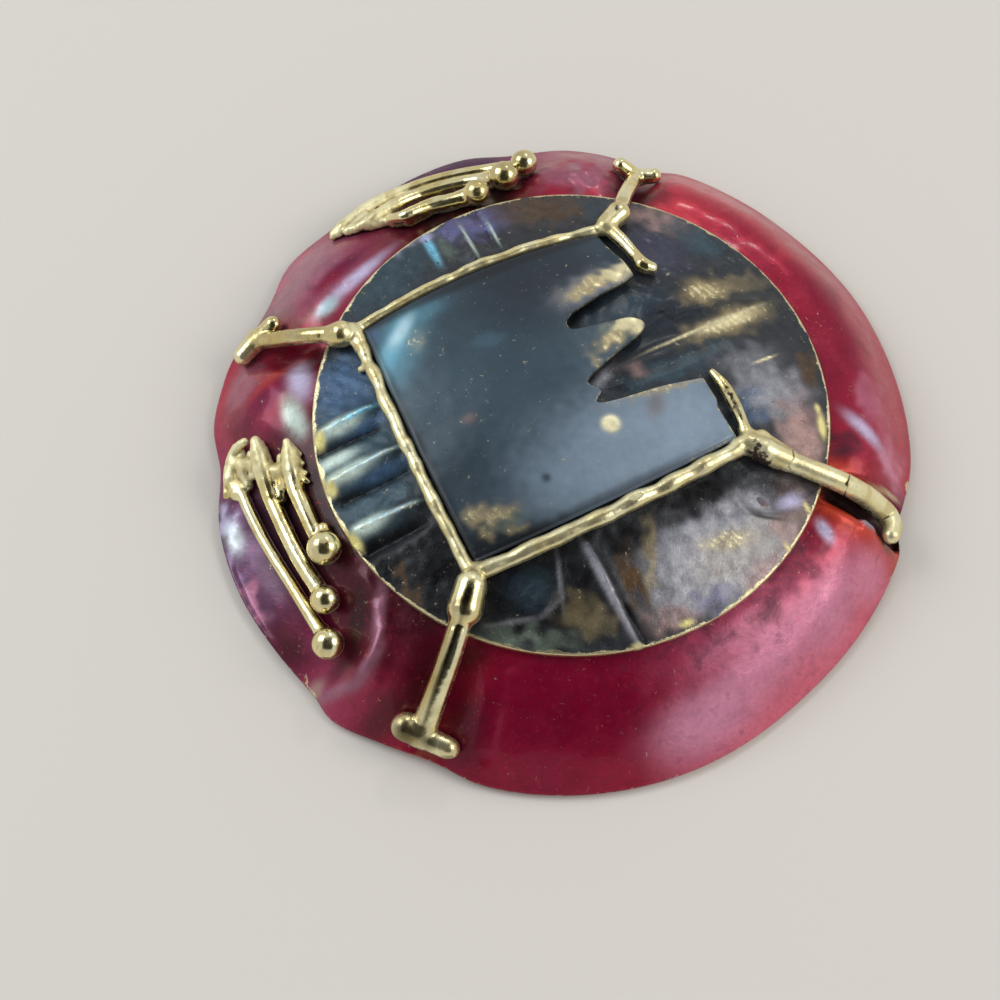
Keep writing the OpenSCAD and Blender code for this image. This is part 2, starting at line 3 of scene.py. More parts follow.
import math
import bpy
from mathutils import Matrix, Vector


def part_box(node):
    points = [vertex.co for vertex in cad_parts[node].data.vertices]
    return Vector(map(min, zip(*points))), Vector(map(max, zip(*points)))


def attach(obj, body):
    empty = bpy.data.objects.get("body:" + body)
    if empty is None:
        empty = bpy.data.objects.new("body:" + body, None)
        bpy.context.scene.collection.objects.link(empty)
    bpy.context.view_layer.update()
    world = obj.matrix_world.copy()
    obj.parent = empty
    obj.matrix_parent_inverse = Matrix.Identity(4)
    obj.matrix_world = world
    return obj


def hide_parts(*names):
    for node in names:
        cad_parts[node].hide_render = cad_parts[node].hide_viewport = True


bl_info = {
    "name": "Brutalist Brooch",
    "version": (1, 0, 0),
    "blender": (4, 5, 0),
    "location": "3D View > Sidebar > Brooch",
    "description": "Builds the brooch's patinated dish, disc, plate and brazed brass with their stage",
    "category": "Object",
}

from collections import namedtuple

import bpy
import numpy as np

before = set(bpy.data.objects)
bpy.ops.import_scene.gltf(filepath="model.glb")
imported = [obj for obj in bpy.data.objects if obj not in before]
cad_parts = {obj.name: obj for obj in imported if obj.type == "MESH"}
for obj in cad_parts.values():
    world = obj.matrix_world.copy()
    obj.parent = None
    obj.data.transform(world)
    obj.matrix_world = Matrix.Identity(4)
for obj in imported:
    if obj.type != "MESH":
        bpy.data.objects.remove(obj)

# Driving sizes of the brooch, in millimetres
MM = 0.001
DISH_R = 34.0
SHEET = 0.9
SHOULDER_Z = 7.7
CROWN_RISE = 3.0
FLANGE_CONE = 0.44
DISC_R = 24.4
DISC_X = 0.8
DISC_Y = 0.4
DISC_RISE = 4.0
DISC_T = 0.7
SEAT = 0.1
SHOULDER_R = DISC_R - 0.4
DISC_Z = SHOULDER_Z + SEAT + DISC_T
PLATE_T = 0.65
PLATE_GAP = 0.35
PLATE_PILLOW = 0.35
BACK_WIRE_D = 0.95
LEFT_WIRE_D = 1.15
FRONT_WIRE_D = 1.45
STRAP_D = 1.6
FRONT_STRAP_D = 2.4
THIN_BAR_D = 1.25
BAR_D = 1.6
BALL_D = 3.0

# Shares of the shoulder's radius at the cap's rings, and the flange's share where its edge turns down
CAP_SHARES = (0.2, 0.5, 0.75, 0.9)
FLANGE_END = 0.985
UNDER_RINGS = 14

# The disc's dimple, and the plate's brass dot with the pit in it
DIMPLE_X = 18.6
DIMPLE_Y = -8.9
DIMPLE_HALF_LENGTH = 2.7
DIMPLE_HALF_WIDTH = 2.1
DIMPLE_DEPTH = 0.3
DOT_X = 4.2
DOT_Y = -3.35
DOT_RISE = 0.07
PIT_X = 4.3
PIT_Y = -3.5
PIT_DEPTH = 0.12

# How near a path's box a point lies to be measured from it, and the distance that stands for any farther
NEAR = 2.4
FAR = 9.0

# Spokes that measure the outline, points along a side wire and the fewest points of a whole brazed mesh
OUTLINE_SPOKES = 144
WIRE_POINTS = 70
FEWEST_POINTS = 1000

Rim = namedtuple("Rim", "angle out lift crown")
Dent = namedtuple("Dent", "angle inset height half_length half_width")
Line = namedtuple("Line", "x1 y1 x2 y2 height half_width")
Lip = namedtuple("Lip", "x y height half_width")
Lump = namedtuple("Lump", "x1 y1 r1 x2 y2 r2")
Station = namedtuple("Station", "x y height radius")
Spot = namedtuple("Spot", "x y length width turn colour strength")
Band = namedtuple("Band", "angle inner outer")
Wave = namedtuple("Wave", "height length seed")

# How far the rim lies out of the round, how high its edge lies and how much the flange bulges
RIM = [
    Rim(0, 0.1, 0.5, 1.3),
    Rim(15, 0.2, 0.6, 1.3),
    Rim(30, 0.3, 0.8, 1.3),
    Rim(45, 0.1, 1.0, 1.2),
    Rim(58, 0.2, 1.0, 1.2),
    Rim(68, 0.2, 1.0, 0.9),
    Rim(74, -0.8, 1.4, 0.0),
    Rim(80, -0.1, 1.6, 0.9),
    Rim(88, 0.4, 1.5, 1.4),
    Rim(94, 0.2, 1.5, 0.7),
    Rim(99, 0.2, 1.3, -0.3),
    Rim(106, 0.8, 1.2, -0.6),
    Rim(116, 0.5, 1.2, -0.6),
    Rim(126, -0.1, 1.2, -0.3),
    Rim(134, 0.1, 1.0, 0.6),
    Rim(143, 0.3, 0.9, 1.5),
    Rim(151, -0.8, 1.1, 1.5),
    Rim(158, -0.9, 1.3, 0.6),
    Rim(163, -0.2, 1.2, 0.0),
    Rim(169, 0.0, 0.9, 1.2),
    Rim(176, 0.0, 0.6, 1.6),
    Rim(184, -0.9, 0.5, 0.7),
    Rim(194, -0.2, 0.5, -0.5),
    Rim(206, 0.0, 0.4, -0.8),
    Rim(218, -0.1, 0.2, -0.7),
    Rim(227, 0.1, 0.1, -0.2),
    Rim(232, 0.8, 0.0, 0.2),
    Rim(240, 0.2, 0.3, 0.5),
    Rim(249, -0.2, 0.5, 0.0),
    Rim(257, 0.5, 0.2, 0.5),
    Rim(270, 0.6, 0.0, 0.4),
    Rim(290, 0.3, 0.0, 0.3),
    Rim(311, -0.4, 0.0, 0.3),
    Rim(325, -0.3, 0.2, 0.5),
    Rim(336, -0.1, 0.6, 1.0),
    Rim(341, -0.1, 1.0, 0.9),
    Rim(345, -0.9, 1.2, 0.0),
    Rim(350, -0.6, 0.8, 1.1),
    Rim(355, -0.1, 0.5, 1.3),
]

# Dents of the flange below the straps and the two groups of bars
DENTS = [
    Dent(163, 5.0, -1.3, 2.0, 4.0),
    Dent(248, 4.5, -1.2, 2.4, 4.0),
    Dent(345, 4.0, -2.4, 1.7, 5.0),
    Dent(74.5, 4.5, -1.4, 2.0, 4.0),
    Dent(205, 3.8, -1.3, 8.5, 3.2),
    Dent(109, 3.2, -1.6, 9.5, 3.2),
    Dent(232.5, 4.0, 0.9, 1.4, 3.0),
]

# Broad chased forms of the disc that the wires rest on
CHASING = [
    Line(-22.3, -2.0, -18.6, -0.3, 0.35, 0.8),
    Line(-22.6, -4.1, -18.0, -2.4, -0.3, 0.7),
    Line(-21.5, -7.1, -16.6, -4.9, 0.4, 0.8),
    Line(-20.3, -9.1, -15.4, -7.0, -0.3, 0.7),
    Line(-19.0, -12.0, -14.3, -10.3, 0.4, 0.8),
    Line(-18.0, -14.2, -13.4, -12.1, -0.3, 0.7),
    Line(2.0, -14.4, 6.6, -23.4, 0.35, 0.8),
    Line(5.1, -20.3, 7.3, -23.0, -0.3, 0.7),
    Line(-10.0, 20.1, -8.2, 16.3, 0.3, 0.8),
    Line(-8.3, 22.4, -6.4, 18.0, -0.25, 0.7),
    Line(17.6, -8.6, 18.4, -9.2, -0.4, 1.9),
    Line(9.0, 9.5, 19.5, 12.0, 0.3, 0.8),
    Line(5.6, 1.6, 15.4, 6.8, 0.3, 0.8),
]

# Sharp lines of the punch on the disc, with a crest or a cut at each
PUNCHED = [
    Line(-22.6, -1.9, -18.0, 0.0, 0.3, 0.45),
    Line(-22.8, -4.1, -17.4, -2.1, -0.32, 0.3),
    Line(-21.7, -7.2, -15.7, -4.5, 0.32, 0.4),
    Line(-20.5, -9.2, -14.4, -6.7, -0.34, 0.3),
    Line(-19.1, -12.1, -13.3, -10.0, 0.32, 0.4),
    Line(-18.0, -14.2, -12.6, -11.8, -0.3, 0.3),
    Line(-10.0, 20.6, -8.2, 16.3, 0.26, 0.4),
    Line(-8.3, 22.6, -6.4, 18.0, -0.24, 0.3),
    Line(-13.4, 19.8, -11.5, 15.2, -0.22, 0.35),
    Line(-11.6, 20.0, -9.9, 16.0, -0.18, 0.3),
    Line(-2.1, 23.6, -1.6, 20.7, -0.15, 0.3),
    Line(2.0, -14.4, 6.8, -23.5, 0.26, 0.4),
    Line(4.4, -18.6, 7.5, -23.4, -0.3, 0.35),
    Line(-6.7, -21.6, -2.1, -20.6, 0.16, 0.35),
    Line(-2.1, -20.6, -0.5, -19.0, 0.16, 0.35),
    Line(-0.5, -19.0, -0.2, -15.9, 0.16, 0.35),
    Line(5.3, 1.2, 15.4, 6.8, 0.22, 0.35),
    Line(7.6, 5.0, 12.6, 7.2, 0.18, 0.35),
    Line(12.6, 7.2, 19.2, 11.7, 0.2, 0.35),
    Line(7.5, 8.8, 14.0, 11.0, -0.18, 0.35),
    Line(14.0, 11.0, 19.8, 12.1, 0.16, 0.35),
    Line(9.0, 11.8, 16.1, 16.2, 0.18, 0.35),
    Line(18.0, 4.8, 20.3, 6.0, 0.12, 0.25),
    Line(19.6, -1.2, 21.9, -3.9, -0.12, 0.35),
]

# Folds of the flange: the ridge by the first ball, the hammer's creases and the lips of the cut
FOLDS = [
    Line(-18.1, -16.1, -17.2, -18.9, 0.2, 0.9),
    Line(-17.2, -18.9, -16.9, -21.1, 0.4, 0.95),
    Line(-16.9, -21.1, -17.3, -23.0, 0.5, 0.95),
    Line(-17.3, -23.0, -18.4, -24.5, 0.5, 0.95),
    Line(-18.4, -24.5, -20.1, -25.5, 0.5, 0.95),
    Line(-20.1, -25.5, -22.4, -25.7, 0.5, 0.95),
    Line(-5.6, -24.8, -7.0, -31.5, -0.25, 0.9),
    Line(27.0, -14.6, 21.6, -21.6, 0.14, 1.0),
    Line(21.6, -21.6, 13.0, -28.4, 0.14, 1.0),
    Line(24.8, -5.4, 32.6, -5.7, 0.35, 0.6),
    Line(24.0, -9.0, 28.0, -10.6, 0.35, 0.8),
    Line(28.0, -10.6, 31.6, -12.3, 0.6, 0.8),
    Line(28.2, -9.8, 28.9, -10.1, 1.0, 0.6),
    Line(-27.5, 10.4, -24.5, 8.9, -0.2, 1.0),
    Line(-24.6, 13.4, -18.6, 20.4, -0.3, 1.3),
    Line(-27.8, 6.2, -24.0, 6.8, -0.2, 1.2),
    Line(-28.9, 2.4, -27.0, 1.0, -0.2, 1.2),
    Line(-30.6, -13.0, -27.4, -18.6, -0.3, 1.4),
    Line(-1.2, 29.6, 1.4, 26.2, 0.14, 0.6),
    Line(1.4, 30.2, 3.2, 27.0, -0.16, 0.5),
    Line(3.6, 29.8, 5.4, 26.6, 0.14, 0.5),
    Line(-0.6, 27.4, 2.6, 28.6, 0.12, 0.5),
]

# The cut of the flange below the right strap: its upper and its lower lip
CUT_UPPER = Line(24.4, -6.1, 34.0, -6.7, -1.3, 1.0)
CUT_LOWER = Line(23.6, -8.3, 32.2, -11.8, -1.3, 1.0)

# Corners of the plate and how far its sides bow outwards
FRONT_CORNER = np.array([-8.4, -17.2])
LEFT_CORNER = np.array([-19.7, 8.4])
RIGHT_CORNER = np.array([17.0, -4.3])
BACK_CORNER = np.array([4.0, 19.2])
LEFT_BOW = 0.5
FRONT_BOW = 0.8
BACK_BOW = 1.0

# The plate's torn edge: share of the way from front to back, share of the way to the right
Tear = namedtuple("Tear", "back right")
TEAR = [
    Tear(0.00, 1.00),
    Tear(0.14, 1.00),
    Tear(0.26, 1.01),
    Tear(0.285, 0.86),
    Tear(0.305, 0.71),
    Tear(0.36, 0.67),
    Tear(0.43, 0.68),
    Tear(0.47, 0.79),
    Tear(0.51, 0.90),
    Tear(0.56, 0.93),
    Tear(0.59, 0.86),
    Tear(0.61, 0.73),
    Tear(0.64, 0.70),
    Tear(0.68, 0.73),
    Tear(0.71, 0.84),
    Tear(0.75, 0.99),
    Tear(0.82, 1.01),
    Tear(0.91, 1.00),
    Tear(1.00, 0.99),
]

# Curled lips of the tear: a place, its rise and its reach
LIPS = [
    Lip(3.2, 11.6, 0.5, 1.8),
    Lip(6.6, 14.2, 0.4, 1.6),
    Lip(6.6, 7.6, 0.45, 1.6),
    Lip(9.0, 0.4, 0.2, 2.2),
]

# Lumps of the frame's corner knots and of the straps' feet
KNOTS = [
    Lump(-21.5, 7.8, 1.2, -21.0, 7.8, 1.3),
    Lump(-8.5, -18.4, 1.5, -9.0, -20.4, 1.65),
    Lump(16.9, -4.3, 0.9, 18.4, -5.1, 1.15),
    Lump(18.4, -5.1, 1.15, 20.4, -5.7, 1.0),
    Lump(4.3, 19.4, 0.9, 5.7, 21.0, 1.15),
    Lump(-28.1, 11.4, 0.9, -29.8, 10.4, 0.95),
    Lump(-29.8, 10.4, 0.95, -31.1, 9.0, 0.9),
    Lump(-14.4, -29.2, 1.35, -13.4, -29.6, 1.3),
    Lump(-12.6, -30.0, 1.1, -10.7, -30.9, 1.0),
    Lump(6.3, 29.8, 0.8, 7.9, 29.2, 0.85),
    Lump(7.9, 29.2, 0.85, 9.7, 29.0, 0.75),
]

# Left, front, right and back strap, then the right and the back stub
STRAPS = [
    [
        Station(-20.6, 8.0, 0.2, STRAP_D / 2),
        Station(-23.0, 8.0, 0.9, STRAP_D / 2),
        Station(-29.8, 10.4, 0.1, STRAP_D / 2),
    ],
    [
        Station(-9.0, -20.0, 0.4, FRONT_STRAP_D / 2 - 0.2),
        Station(-9.8, -22.6, 1.3, FRONT_STRAP_D / 2 - 0.15),
        Station(-13.0, -29.8, 0.0, FRONT_STRAP_D / 2),
    ],
    [
        Station(19.6, -5.5, 0.1, STRAP_D / 2 + 0.15),
        Station(22.5, -6.3, 0.1, STRAP_D / 2 + 0.15),
        Station(25.2, -7.0, 1.4, STRAP_D / 2 + 0.2),
        Station(29.5, -7.5, 0.5, STRAP_D / 2 + 0.25),
        Station(30.8, -8.2, 0.5, STRAP_D / 2 + 0.25),
        Station(31.1, -9.4, 0.3, STRAP_D / 2 + 0.15),
        Station(30.8, -10.4, 0.0, STRAP_D / 2 + 0.05),
    ],
    [
        Station(5.6, 20.9, 0.4, STRAP_D / 2),
        Station(6.3, 23.5, 0.4, STRAP_D / 2 - 0.05),
        Station(6.9, 25.4, 1.1, STRAP_D / 2 - 0.05),
        Station(7.9, 29.1, 0.1, STRAP_D / 2),
    ],
    [
        Station(16.9, -4.3, 0.1, 0.7),
        Station(16.5, -2.2, 0.1, 0.55),
        Station(15.8, -0.4, 0.1, 0.6),
        Station(14.8, 1.6, 0.1, 0.55),
        Station(13.9, 2.9, 0.1, 0.35),
    ],
    [
        Station(4.5, 19.4, 0.1, 0.75),
        Station(6.0, 17.5, 0.1, 0.65),
        Station(7.2, 15.7, 0.1, 0.6),
        Station(7.9, 14.5, 0.1, 0.75),
        Station(8.6, 14.4, 0.1, 0.6),
    ],
]

# Bars from their roots to their balls: the left ones from the rim inwards, the top ones outwards
LEFT_BARS = [
    [
        Station(-31.3, -3.3, 0.1, THIN_BAR_D / 2),
        Station(-29.8, -7.2, 0.1, THIN_BAR_D / 2),
        Station(-28.1, -10.6, 0.2, THIN_BAR_D / 2),
        Station(-25.1, -15.6, 0.2, THIN_BAR_D / 2),
        Station(-22.0, -20.7, 0.1, THIN_BAR_D / 2 + 0.1),
    ],
    [
        Station(-28.6, -2.9, 0.0, BAR_D / 2 + 0.1),
        Station(-27.8, -6.2, 0.1, BAR_D / 2),
        Station(-26.5, -9.2, 0.2, BAR_D / 2),
        Station(-24.1, -14.0, 0.2, BAR_D / 2),
        Station(-22.3, -16.8, 0.1, BAR_D / 2),
    ],
    [
        Station(-25.6, -3.5, 0.0, BAR_D / 2),
        Station(-25.3, -6.1, 0.0, BAR_D / 2),
        Station(-24.2, -8.8, 0.0, BAR_D / 2),
        Station(-22.6, -12.4, 0.0, BAR_D / 2 - 0.1),
    ],
]
LEFT_BALLS = [
    Station(-21.6, -21.6, 0.0, BALL_D / 2),
    Station(-21.9, -17.7, 0.0, BALL_D / 2 - 0.15),
    Station(-22.0, -13.4, 0.0, BALL_D / 2 + 0.1),
]
TOP_BARS = [
    [
        Station(-15.4, 23.3, 0.0, BAR_D / 2),
        Station(-13.1, 24.3, 0.1, BAR_D / 2),
        Station(-9.0, 25.1, 0.1, BAR_D / 2),
    ],
    [
        Station(-18.6, 23.9, 0.0, BAR_D / 2),
        Station(-15.2, 26.9, 0.1, BAR_D / 2),
        Station(-12.3, 28.1, 0.2, BAR_D / 2),
        Station(-8.8, 28.7, 0.2, BAR_D / 2),
        Station(-6.2, 28.4, 0.2, BAR_D / 2),
    ],
    [
        Station(-21.8, 23.4, 0.0, BAR_D / 2 - 0.1),
        Station(-18.0, 26.9, 0.1, BAR_D / 2 - 0.1),
        Station(-15.1, 28.6, 0.1, BAR_D / 2 - 0.1),
        Station(-11.4, 30.0, 0.1, BAR_D / 2 - 0.1),
        Station(-7.4, 30.7, 0.1, BAR_D / 2 - 0.1),
        Station(-4.2, 30.2, 0.1, BAR_D / 2),
    ],
]
TOP_BALLS = [
    Station(-8.2, 25.3, 0.0, BALL_D / 2 - 0.2),
    Station(-5.5, 27.9, 0.0, BALL_D / 2),
    Station(-3.5, 29.8, 0.0, BALL_D / 2 - 0.15),
]

# Rough crusts that join the bars' roots
LEFT_CRUST = [
    Lump(-31.0, -1.4, 0.6, -31.6, -4.1, 0.85),
    Lump(-28.8, -2.0, 0.65, -28.4, -4.4, 0.85),
    Lump(-25.8, -2.8, 0.55, -25.4, -5.2, 0.8),
    Lump(-31.2, -2.8, 0.7, -29.2, -3.6, 0.7),
    Lump(-28.4, -4.0, 0.65, -26.8, -4.8, 0.6),
    Lump(-26.8, -4.8, 0.6, -25.4, -4.8, 0.7),
    Lump(-25.2, -4.2, 0.55, -24.8, -6.2, 0.5),
    Lump(-31.6, -3.8, 0.7, -30.9, -5.8, 0.7),
]

# Sharp crests of the left roots, each a place, its height above the seat and a radius
LEFT_CRESTS = [
    [
        Station(-30.2, -1.3, 0.7, 0.4),
        Station(-31.0, -1.6, 0.9, 0.42),
        Station(-31.7, -2.8, 0.8, 0.42),
        Station(-31.9, -4.4, 0.6, 0.42),
    ],
    [
        Station(-29.0, -1.8, 0.9, 0.5),
        Station(-28.6, -3.2, 1.0, 0.55),
        Station(-28.0, -5.2, 0.7, 0.6),
        Station(-27.4, -7.0, 0.4, 0.65),
    ],
    [
        Station(-25.9, -2.6, 0.8, 0.38),
        Station(-25.6, -3.9, 0.9, 0.42),
        Station(-25.3, -5.4, 0.7, 0.5),
        Station(-24.8, -7.0, 0.3, 0.55),
    ],
]
TOP_CRUST = [
    Lump(-22.7, 22.5, 0.35, -21.0, 24.2, 0.6),
    Lump(-21.2, 22.7, 0.45, -19.4, 24.6, 0.65),
    Lump(-19.2, 23.2, 0.6, -17.6, 25.2, 0.65),
    Lump(-17.6, 24.8, 0.55, -16.4, 23.2, 0.5),
    Lump(-16.4, 23.2, 0.6, -14.9, 23.0, 0.7),
    Lump(-14.9, 22.9, 0.65, -13.6, 23.8, 0.75),
    Lump(-20.2, 25.0, 0.6, -18.2, 26.8, 0.6),
    Lump(-18.4, 25.2, 0.55, -16.6, 26.2, 0.55),
]

# Sharp crests of the top roots
TOP_CRESTS = [
    [
        Station(-22.6, 22.8, 0.2, 0.4),
        Station(-21.0, 24.5, 0.7, 0.45),
        Station(-19.2, 26.3, 0.7, 0.5),
        Station(-17.0, 27.8, 0.4, 0.55),
    ],
    [
        Station(-20.0, 22.9, 0.4, 0.4),
        Station(-18.2, 24.1, 0.9, 0.5),
        Station(-16.4, 25.9, 0.7, 0.55),
        Station(-14.6, 27.1, 0.4, 0.6),
    ],
    [
        Station(-16.8, 23.2, 0.6, 0.5),
        Station(-15.4, 22.9, 0.9, 0.6),
        Station(-13.8, 23.8, 0.7, 0.65),
        Station(-12.0, 24.7, 0.3, 0.7),
    ],
]

# Solder that runs between the forms above, one row each from lump to lump
FRAME_SOLDER = [
    Lump(-19.0, 4.1, 0.35, -18.3, 4.3, 0.45),
    Lump(-19.9, 8.2, 0.85, -19.2, 6.4, 0.55),
    Lump(16.0, -4.7, 0.8, 18.2, -3.6, 0.7),
    Lump(18.2, -3.6, 0.7, 20.6, -5.2, 0.8),
    Lump(17.0, -4.6, 0.9, 19.4, -5.6, 0.8),
    Lump(16.6, -2.8, 0.5, 17.8, -4.0, 0.7),
    Lump(-11.8, -30.2, 0.9, -10.4, -31.0, 0.85),
    Lump(-30.0, 11.2, 0.75, -31.2, 9.6, 0.75),
    Lump(4.4, 19.9, 0.85, 5.4, 21.3, 0.95),
    Lump(-7.9, -16.4, 0.55, -8.3, -18.0, 0.8),
]
LEFT_SOLDER = [
    Lump(-32.0, -2.4, 0.5, -31.9, -5.4, 0.65),
    Lump(-30.5, -2.0, 0.45, -30.3, -4.0, 0.65),
    Lump(-30.3, -3.4, 0.65, -29.8, -5.2, 0.5),
    Lump(-29.6, -2.4, 0.45, -29.2, -4.4, 0.5),
    Lump(-27.9, -3.4, 0.45, -27.2, -5.8, 0.6),
    Lump(-27.0, -4.6, 0.5, -26.4, -7.2, 0.55),
    Lump(-26.5, -3.6, 0.45, -26.0, -6.2, 0.6),
    Lump(-25.2, -3.3, 0.4, -24.7, -3.4, 0.22),
    Lump(-25.0, -4.3, 0.4, -24.4, -4.4, 0.2),
    Lump(-24.8, -5.2, 0.4, -24.1, -5.4, 0.22),
    Lump(-24.5, -5.9, 0.4, -23.8, -6.3, 0.2),
    Lump(-21.9, -12.3, 0.75, -22.2, -11.2, 0.6),
    Lump(-22.3, -17.2, 0.7, -22.9, -16.1, 0.6),
    Lump(-21.9, -20.6, 0.75, -22.2, -20.1, 0.7),
]
TOP_SOLDER = [
    Lump(-22.2, 22.6, 0.35, -18.6, 26.4, 0.55),
    Lump(-20.6, 22.8, 0.45, -16.6, 25.6, 0.6),
    Lump(-18.6, 23.2, 0.5, -14.4, 24.2, 0.55),
    Lump(-17.0, 26.6, 0.5, -12.0, 27.6, 0.5),
    Lump(-14.6, 25.0, 0.5, -12.6, 24.6, 0.6),
    Lump(-9.6, 25.1, 0.85, -9.0, 25.2, 0.9),
    Lump(-7.2, 28.4, 0.9, -6.8, 28.3, 0.95),
]

# Cracks across the right strap: a place on it, its direction there and half the crack's width
Crack = namedtuple("Crack", "x y along_x along_y half_width")
CRACKS = [
    Crack(20.9, -5.9, 0.96, -0.27, 0.08),
    Crack(26.2, -7.2, 0.98, -0.2, 0.09),
]

# Dark torn places of the brass: the right corner's web, the right stub's slot and the back knot's hollow
TEARS = [
    Spot(17.9, -6.1, 1.3, 0.5, -30, "grime_and_shade", 1.4),
    Spot(17.6, -5.3, 0.35, 0.8, 10, "grime_and_shade", 1.2),
    Spot(15.4, 0.1, 1.5, 0.28, -63, "grime_and_shade", 1.0),
    Spot(5.5, 21.1, 0.35, 0.3, 0, "grime_and_shade", 1.0),
]

# Tints of the brass: olive on the left strap and by the top balls; on the front strap a painted shaded side,
# a painted highlight and a painted dark reflection stripe; painted dark reflection on the front knot's faces
# and painted shade on the front foot
BRASS_SPOTS = [
    Spot(-26.2, 9.2, 4.8, 1.6, -18, "olive_brass", 0.6),
    Spot(-5.9, 27.7, 4.6, 1.8, 40, "olive_brass", 0.45),
    # Front strap: painted shaded side, painted highlight and painted dark reflection stripe (three rows)
    Spot(-11.5, -24.8, 5.0, 0.5, 66, "olive_brass", 0.7),
    Spot(-10.3, -25.5, 4.8, 0.3, 66, "cream", 0.8),
    Spot(-10.9, -25.2, 4.8, 0.26, 66, "dark_olive", 0.95),
    # Painted dark reflection on the front knot's faces (two rows)
    Spot(-8.7, -19.6, 0.5, 1.0, -20, "dark_olive", 0.95),
    Spot(-9.2, -20.3, 0.8, 0.5, 15, "dark_olive", 0.8),
    # Painted shade on the front strap's foot (two rows)
    Spot(-14.3, -30.0, 1.5, 1.1, -10, "dark_olive", 0.85),
    Spot(-12.3, -30.8, 0.9, 0.5, -20, "dark_olive", 0.7),
]

# Unevenness of each piece and of its stains' outlines: waves with their length in millimetres
WAVES = {
    "dish_hammer": [Wave(1.0, 8.0, 3), Wave(0.3, 3.6, 4)],
    "dish_warp": [Wave(0.7, 3.4, 11), Wave(0.3, 1.4, 12)],
    "dish_sway": [Wave(0.5, 2.6, 13)],
    "disc_hammer": [Wave(0.035, 4.2, 21), Wave(0.02, 1.6, 22)],
    "disc_warp": [Wave(0.35, 2.4, 23)],
    "disc_sway": [Wave(0.35, 2.4, 24)],
    "disc_rim": [Wave(0.06, 3.0, 25)],
    "plate_tear": [Wave(0.004, 2.4, 31)],
    "plate_hammer": [Wave(0.02, 8.0, 32), Wave(0.004, 2.2, 33)],
    "plate_warp": [Wave(0.18, 1.6, 34)],
    "plate_sway": [Wave(0.18, 1.6, 35)],
    "solder": [Wave(0.65, 2.1, 41), Wave(0.35, 0.9, 42)],
    "brass_tint": [Wave(0.35, 3.5, 43)],
    "brass_olive": [Wave(1.0, 2.2, 44)],
    "crack": [Wave(0.1, 1.2, 45)],
    "tear_x": [Wave(0.12, 0.9, 46)],
    "tear_y": [Wave(0.12, 0.8, 47)],
}

# Colours, as screen values from 0 to 255
PALETTE = {
    "crimson": (150, 8, 46),
    "deep_crimson": (134, 0, 44),
    "maroon": (76, 6, 26),
    "coral": (194, 52, 66),
    "rose": (178, 46, 68),
    "pink": (210, 100, 118),
    "raspberry": (160, 56, 86),
    "mauve": (212, 140, 166),
    "dusty_mauve": (156, 104, 122),
    "ice": (190, 220, 226),
    "lavender": (216, 212, 244),
    "violet": (130, 94, 130),
    "purple": (92, 56, 82),
    "magenta": (110, 2, 56),
    "orange_red": (196, 62, 36),
    "umber": (46, 18, 16),
    "soot_and_shade": (64, 26, 42),
    "copper": (182, 112, 78),
    "bronze": (54, 57, 60),
    "brown": (98, 74, 48),
    "black": (14, 14, 17),
    "slate": (58, 80, 90),
    "blue_slate": (68, 98, 130),
    "violet_slate": (98, 98, 142),
    "grey_violet": (174, 175, 182),
    "pinkish": (178, 146, 138),
    "sage": (108, 122, 108),
    "mint": (222, 244, 230),
    "cyan": (128, 204, 230),
    "old_gold": (176, 158, 114),
    "pale_gold": (236, 224, 176),
    "spot_gold": (236, 222, 146),
    "plate_dark": (28, 38, 48),
    "plate_blue": (52, 72, 84),
    "plate_pale": (142, 160, 176),
    "plate_cyan": (84, 132, 148),
    "brass": (240, 222, 156),
    "olive_brass": (172, 148, 84),
    "pale_brass": (252, 244, 196),
    "cream": (250, 242, 194),
    "dark_olive": (70, 58, 34),
    "dull_copper": (122, 100, 90),
    "grime_and_shade": (44, 26, 14),
    "floor": (214, 208, 198),
}

# Colours round the flange, by the disc and at the rim. The umber by the disc from 102° to 120° and from 192°
# to 208° is painted shade under the two groups of bars. The maroon by the disc at 74° and 164° and the umber
# at 345.5° are painted shade in the valleys below the top and left straps and in the cut below the right
# strap.
DISH_BANDS = [
    Band(0, "crimson", "rose"),
    Band(14, "deep_crimson", "rose"),
    Band(30, "crimson", "rose"),
    Band(50, "crimson", "rose"),
    Band(66, "coral", "coral"),
    # painted shade in the top strap's valley
    Band(74, "maroon", "raspberry"),
    Band(82, "rose", "raspberry"),
    Band(92, "crimson", "raspberry"),
    # painted shade under the top bars, to 120°
    Band(102, "umber", "purple"),
    Band(120, "umber", "purple"),
    Band(134, "deep_crimson", "raspberry"),
    Band(146, "raspberry", "pink"),
    Band(158, "crimson", "rose"),
    # painted shade in the left strap's valley
    Band(164, "maroon", "rose"),
    Band(172, "crimson", "rose"),
    Band(182, "maroon", "raspberry"),
    # painted shade under the left bars, to 208°
    Band(192, "umber", "purple"),
    Band(208, "umber", "purple"),
    Band(220, "maroon", "magenta"),
    Band(230, "maroon", "raspberry"),
    Band(240, "maroon", "crimson"),
    Band(250, "crimson", "crimson"),
    Band(266, "deep_crimson", "deep_crimson"),
    Band(282, "deep_crimson", "crimson"),
    Band(300, "raspberry", "pink"),
    Band(318, "raspberry", "pink"),
    Band(334, "crimson", "pink"),
    Band(341, "orange_red", "orange_red"),
    # painted shade in the cut below the right strap
    Band(345.5, "umber", "maroon"),
    Band(348.5, "orange_red", "magenta"),
    Band(353, "crimson", "rose"),
]
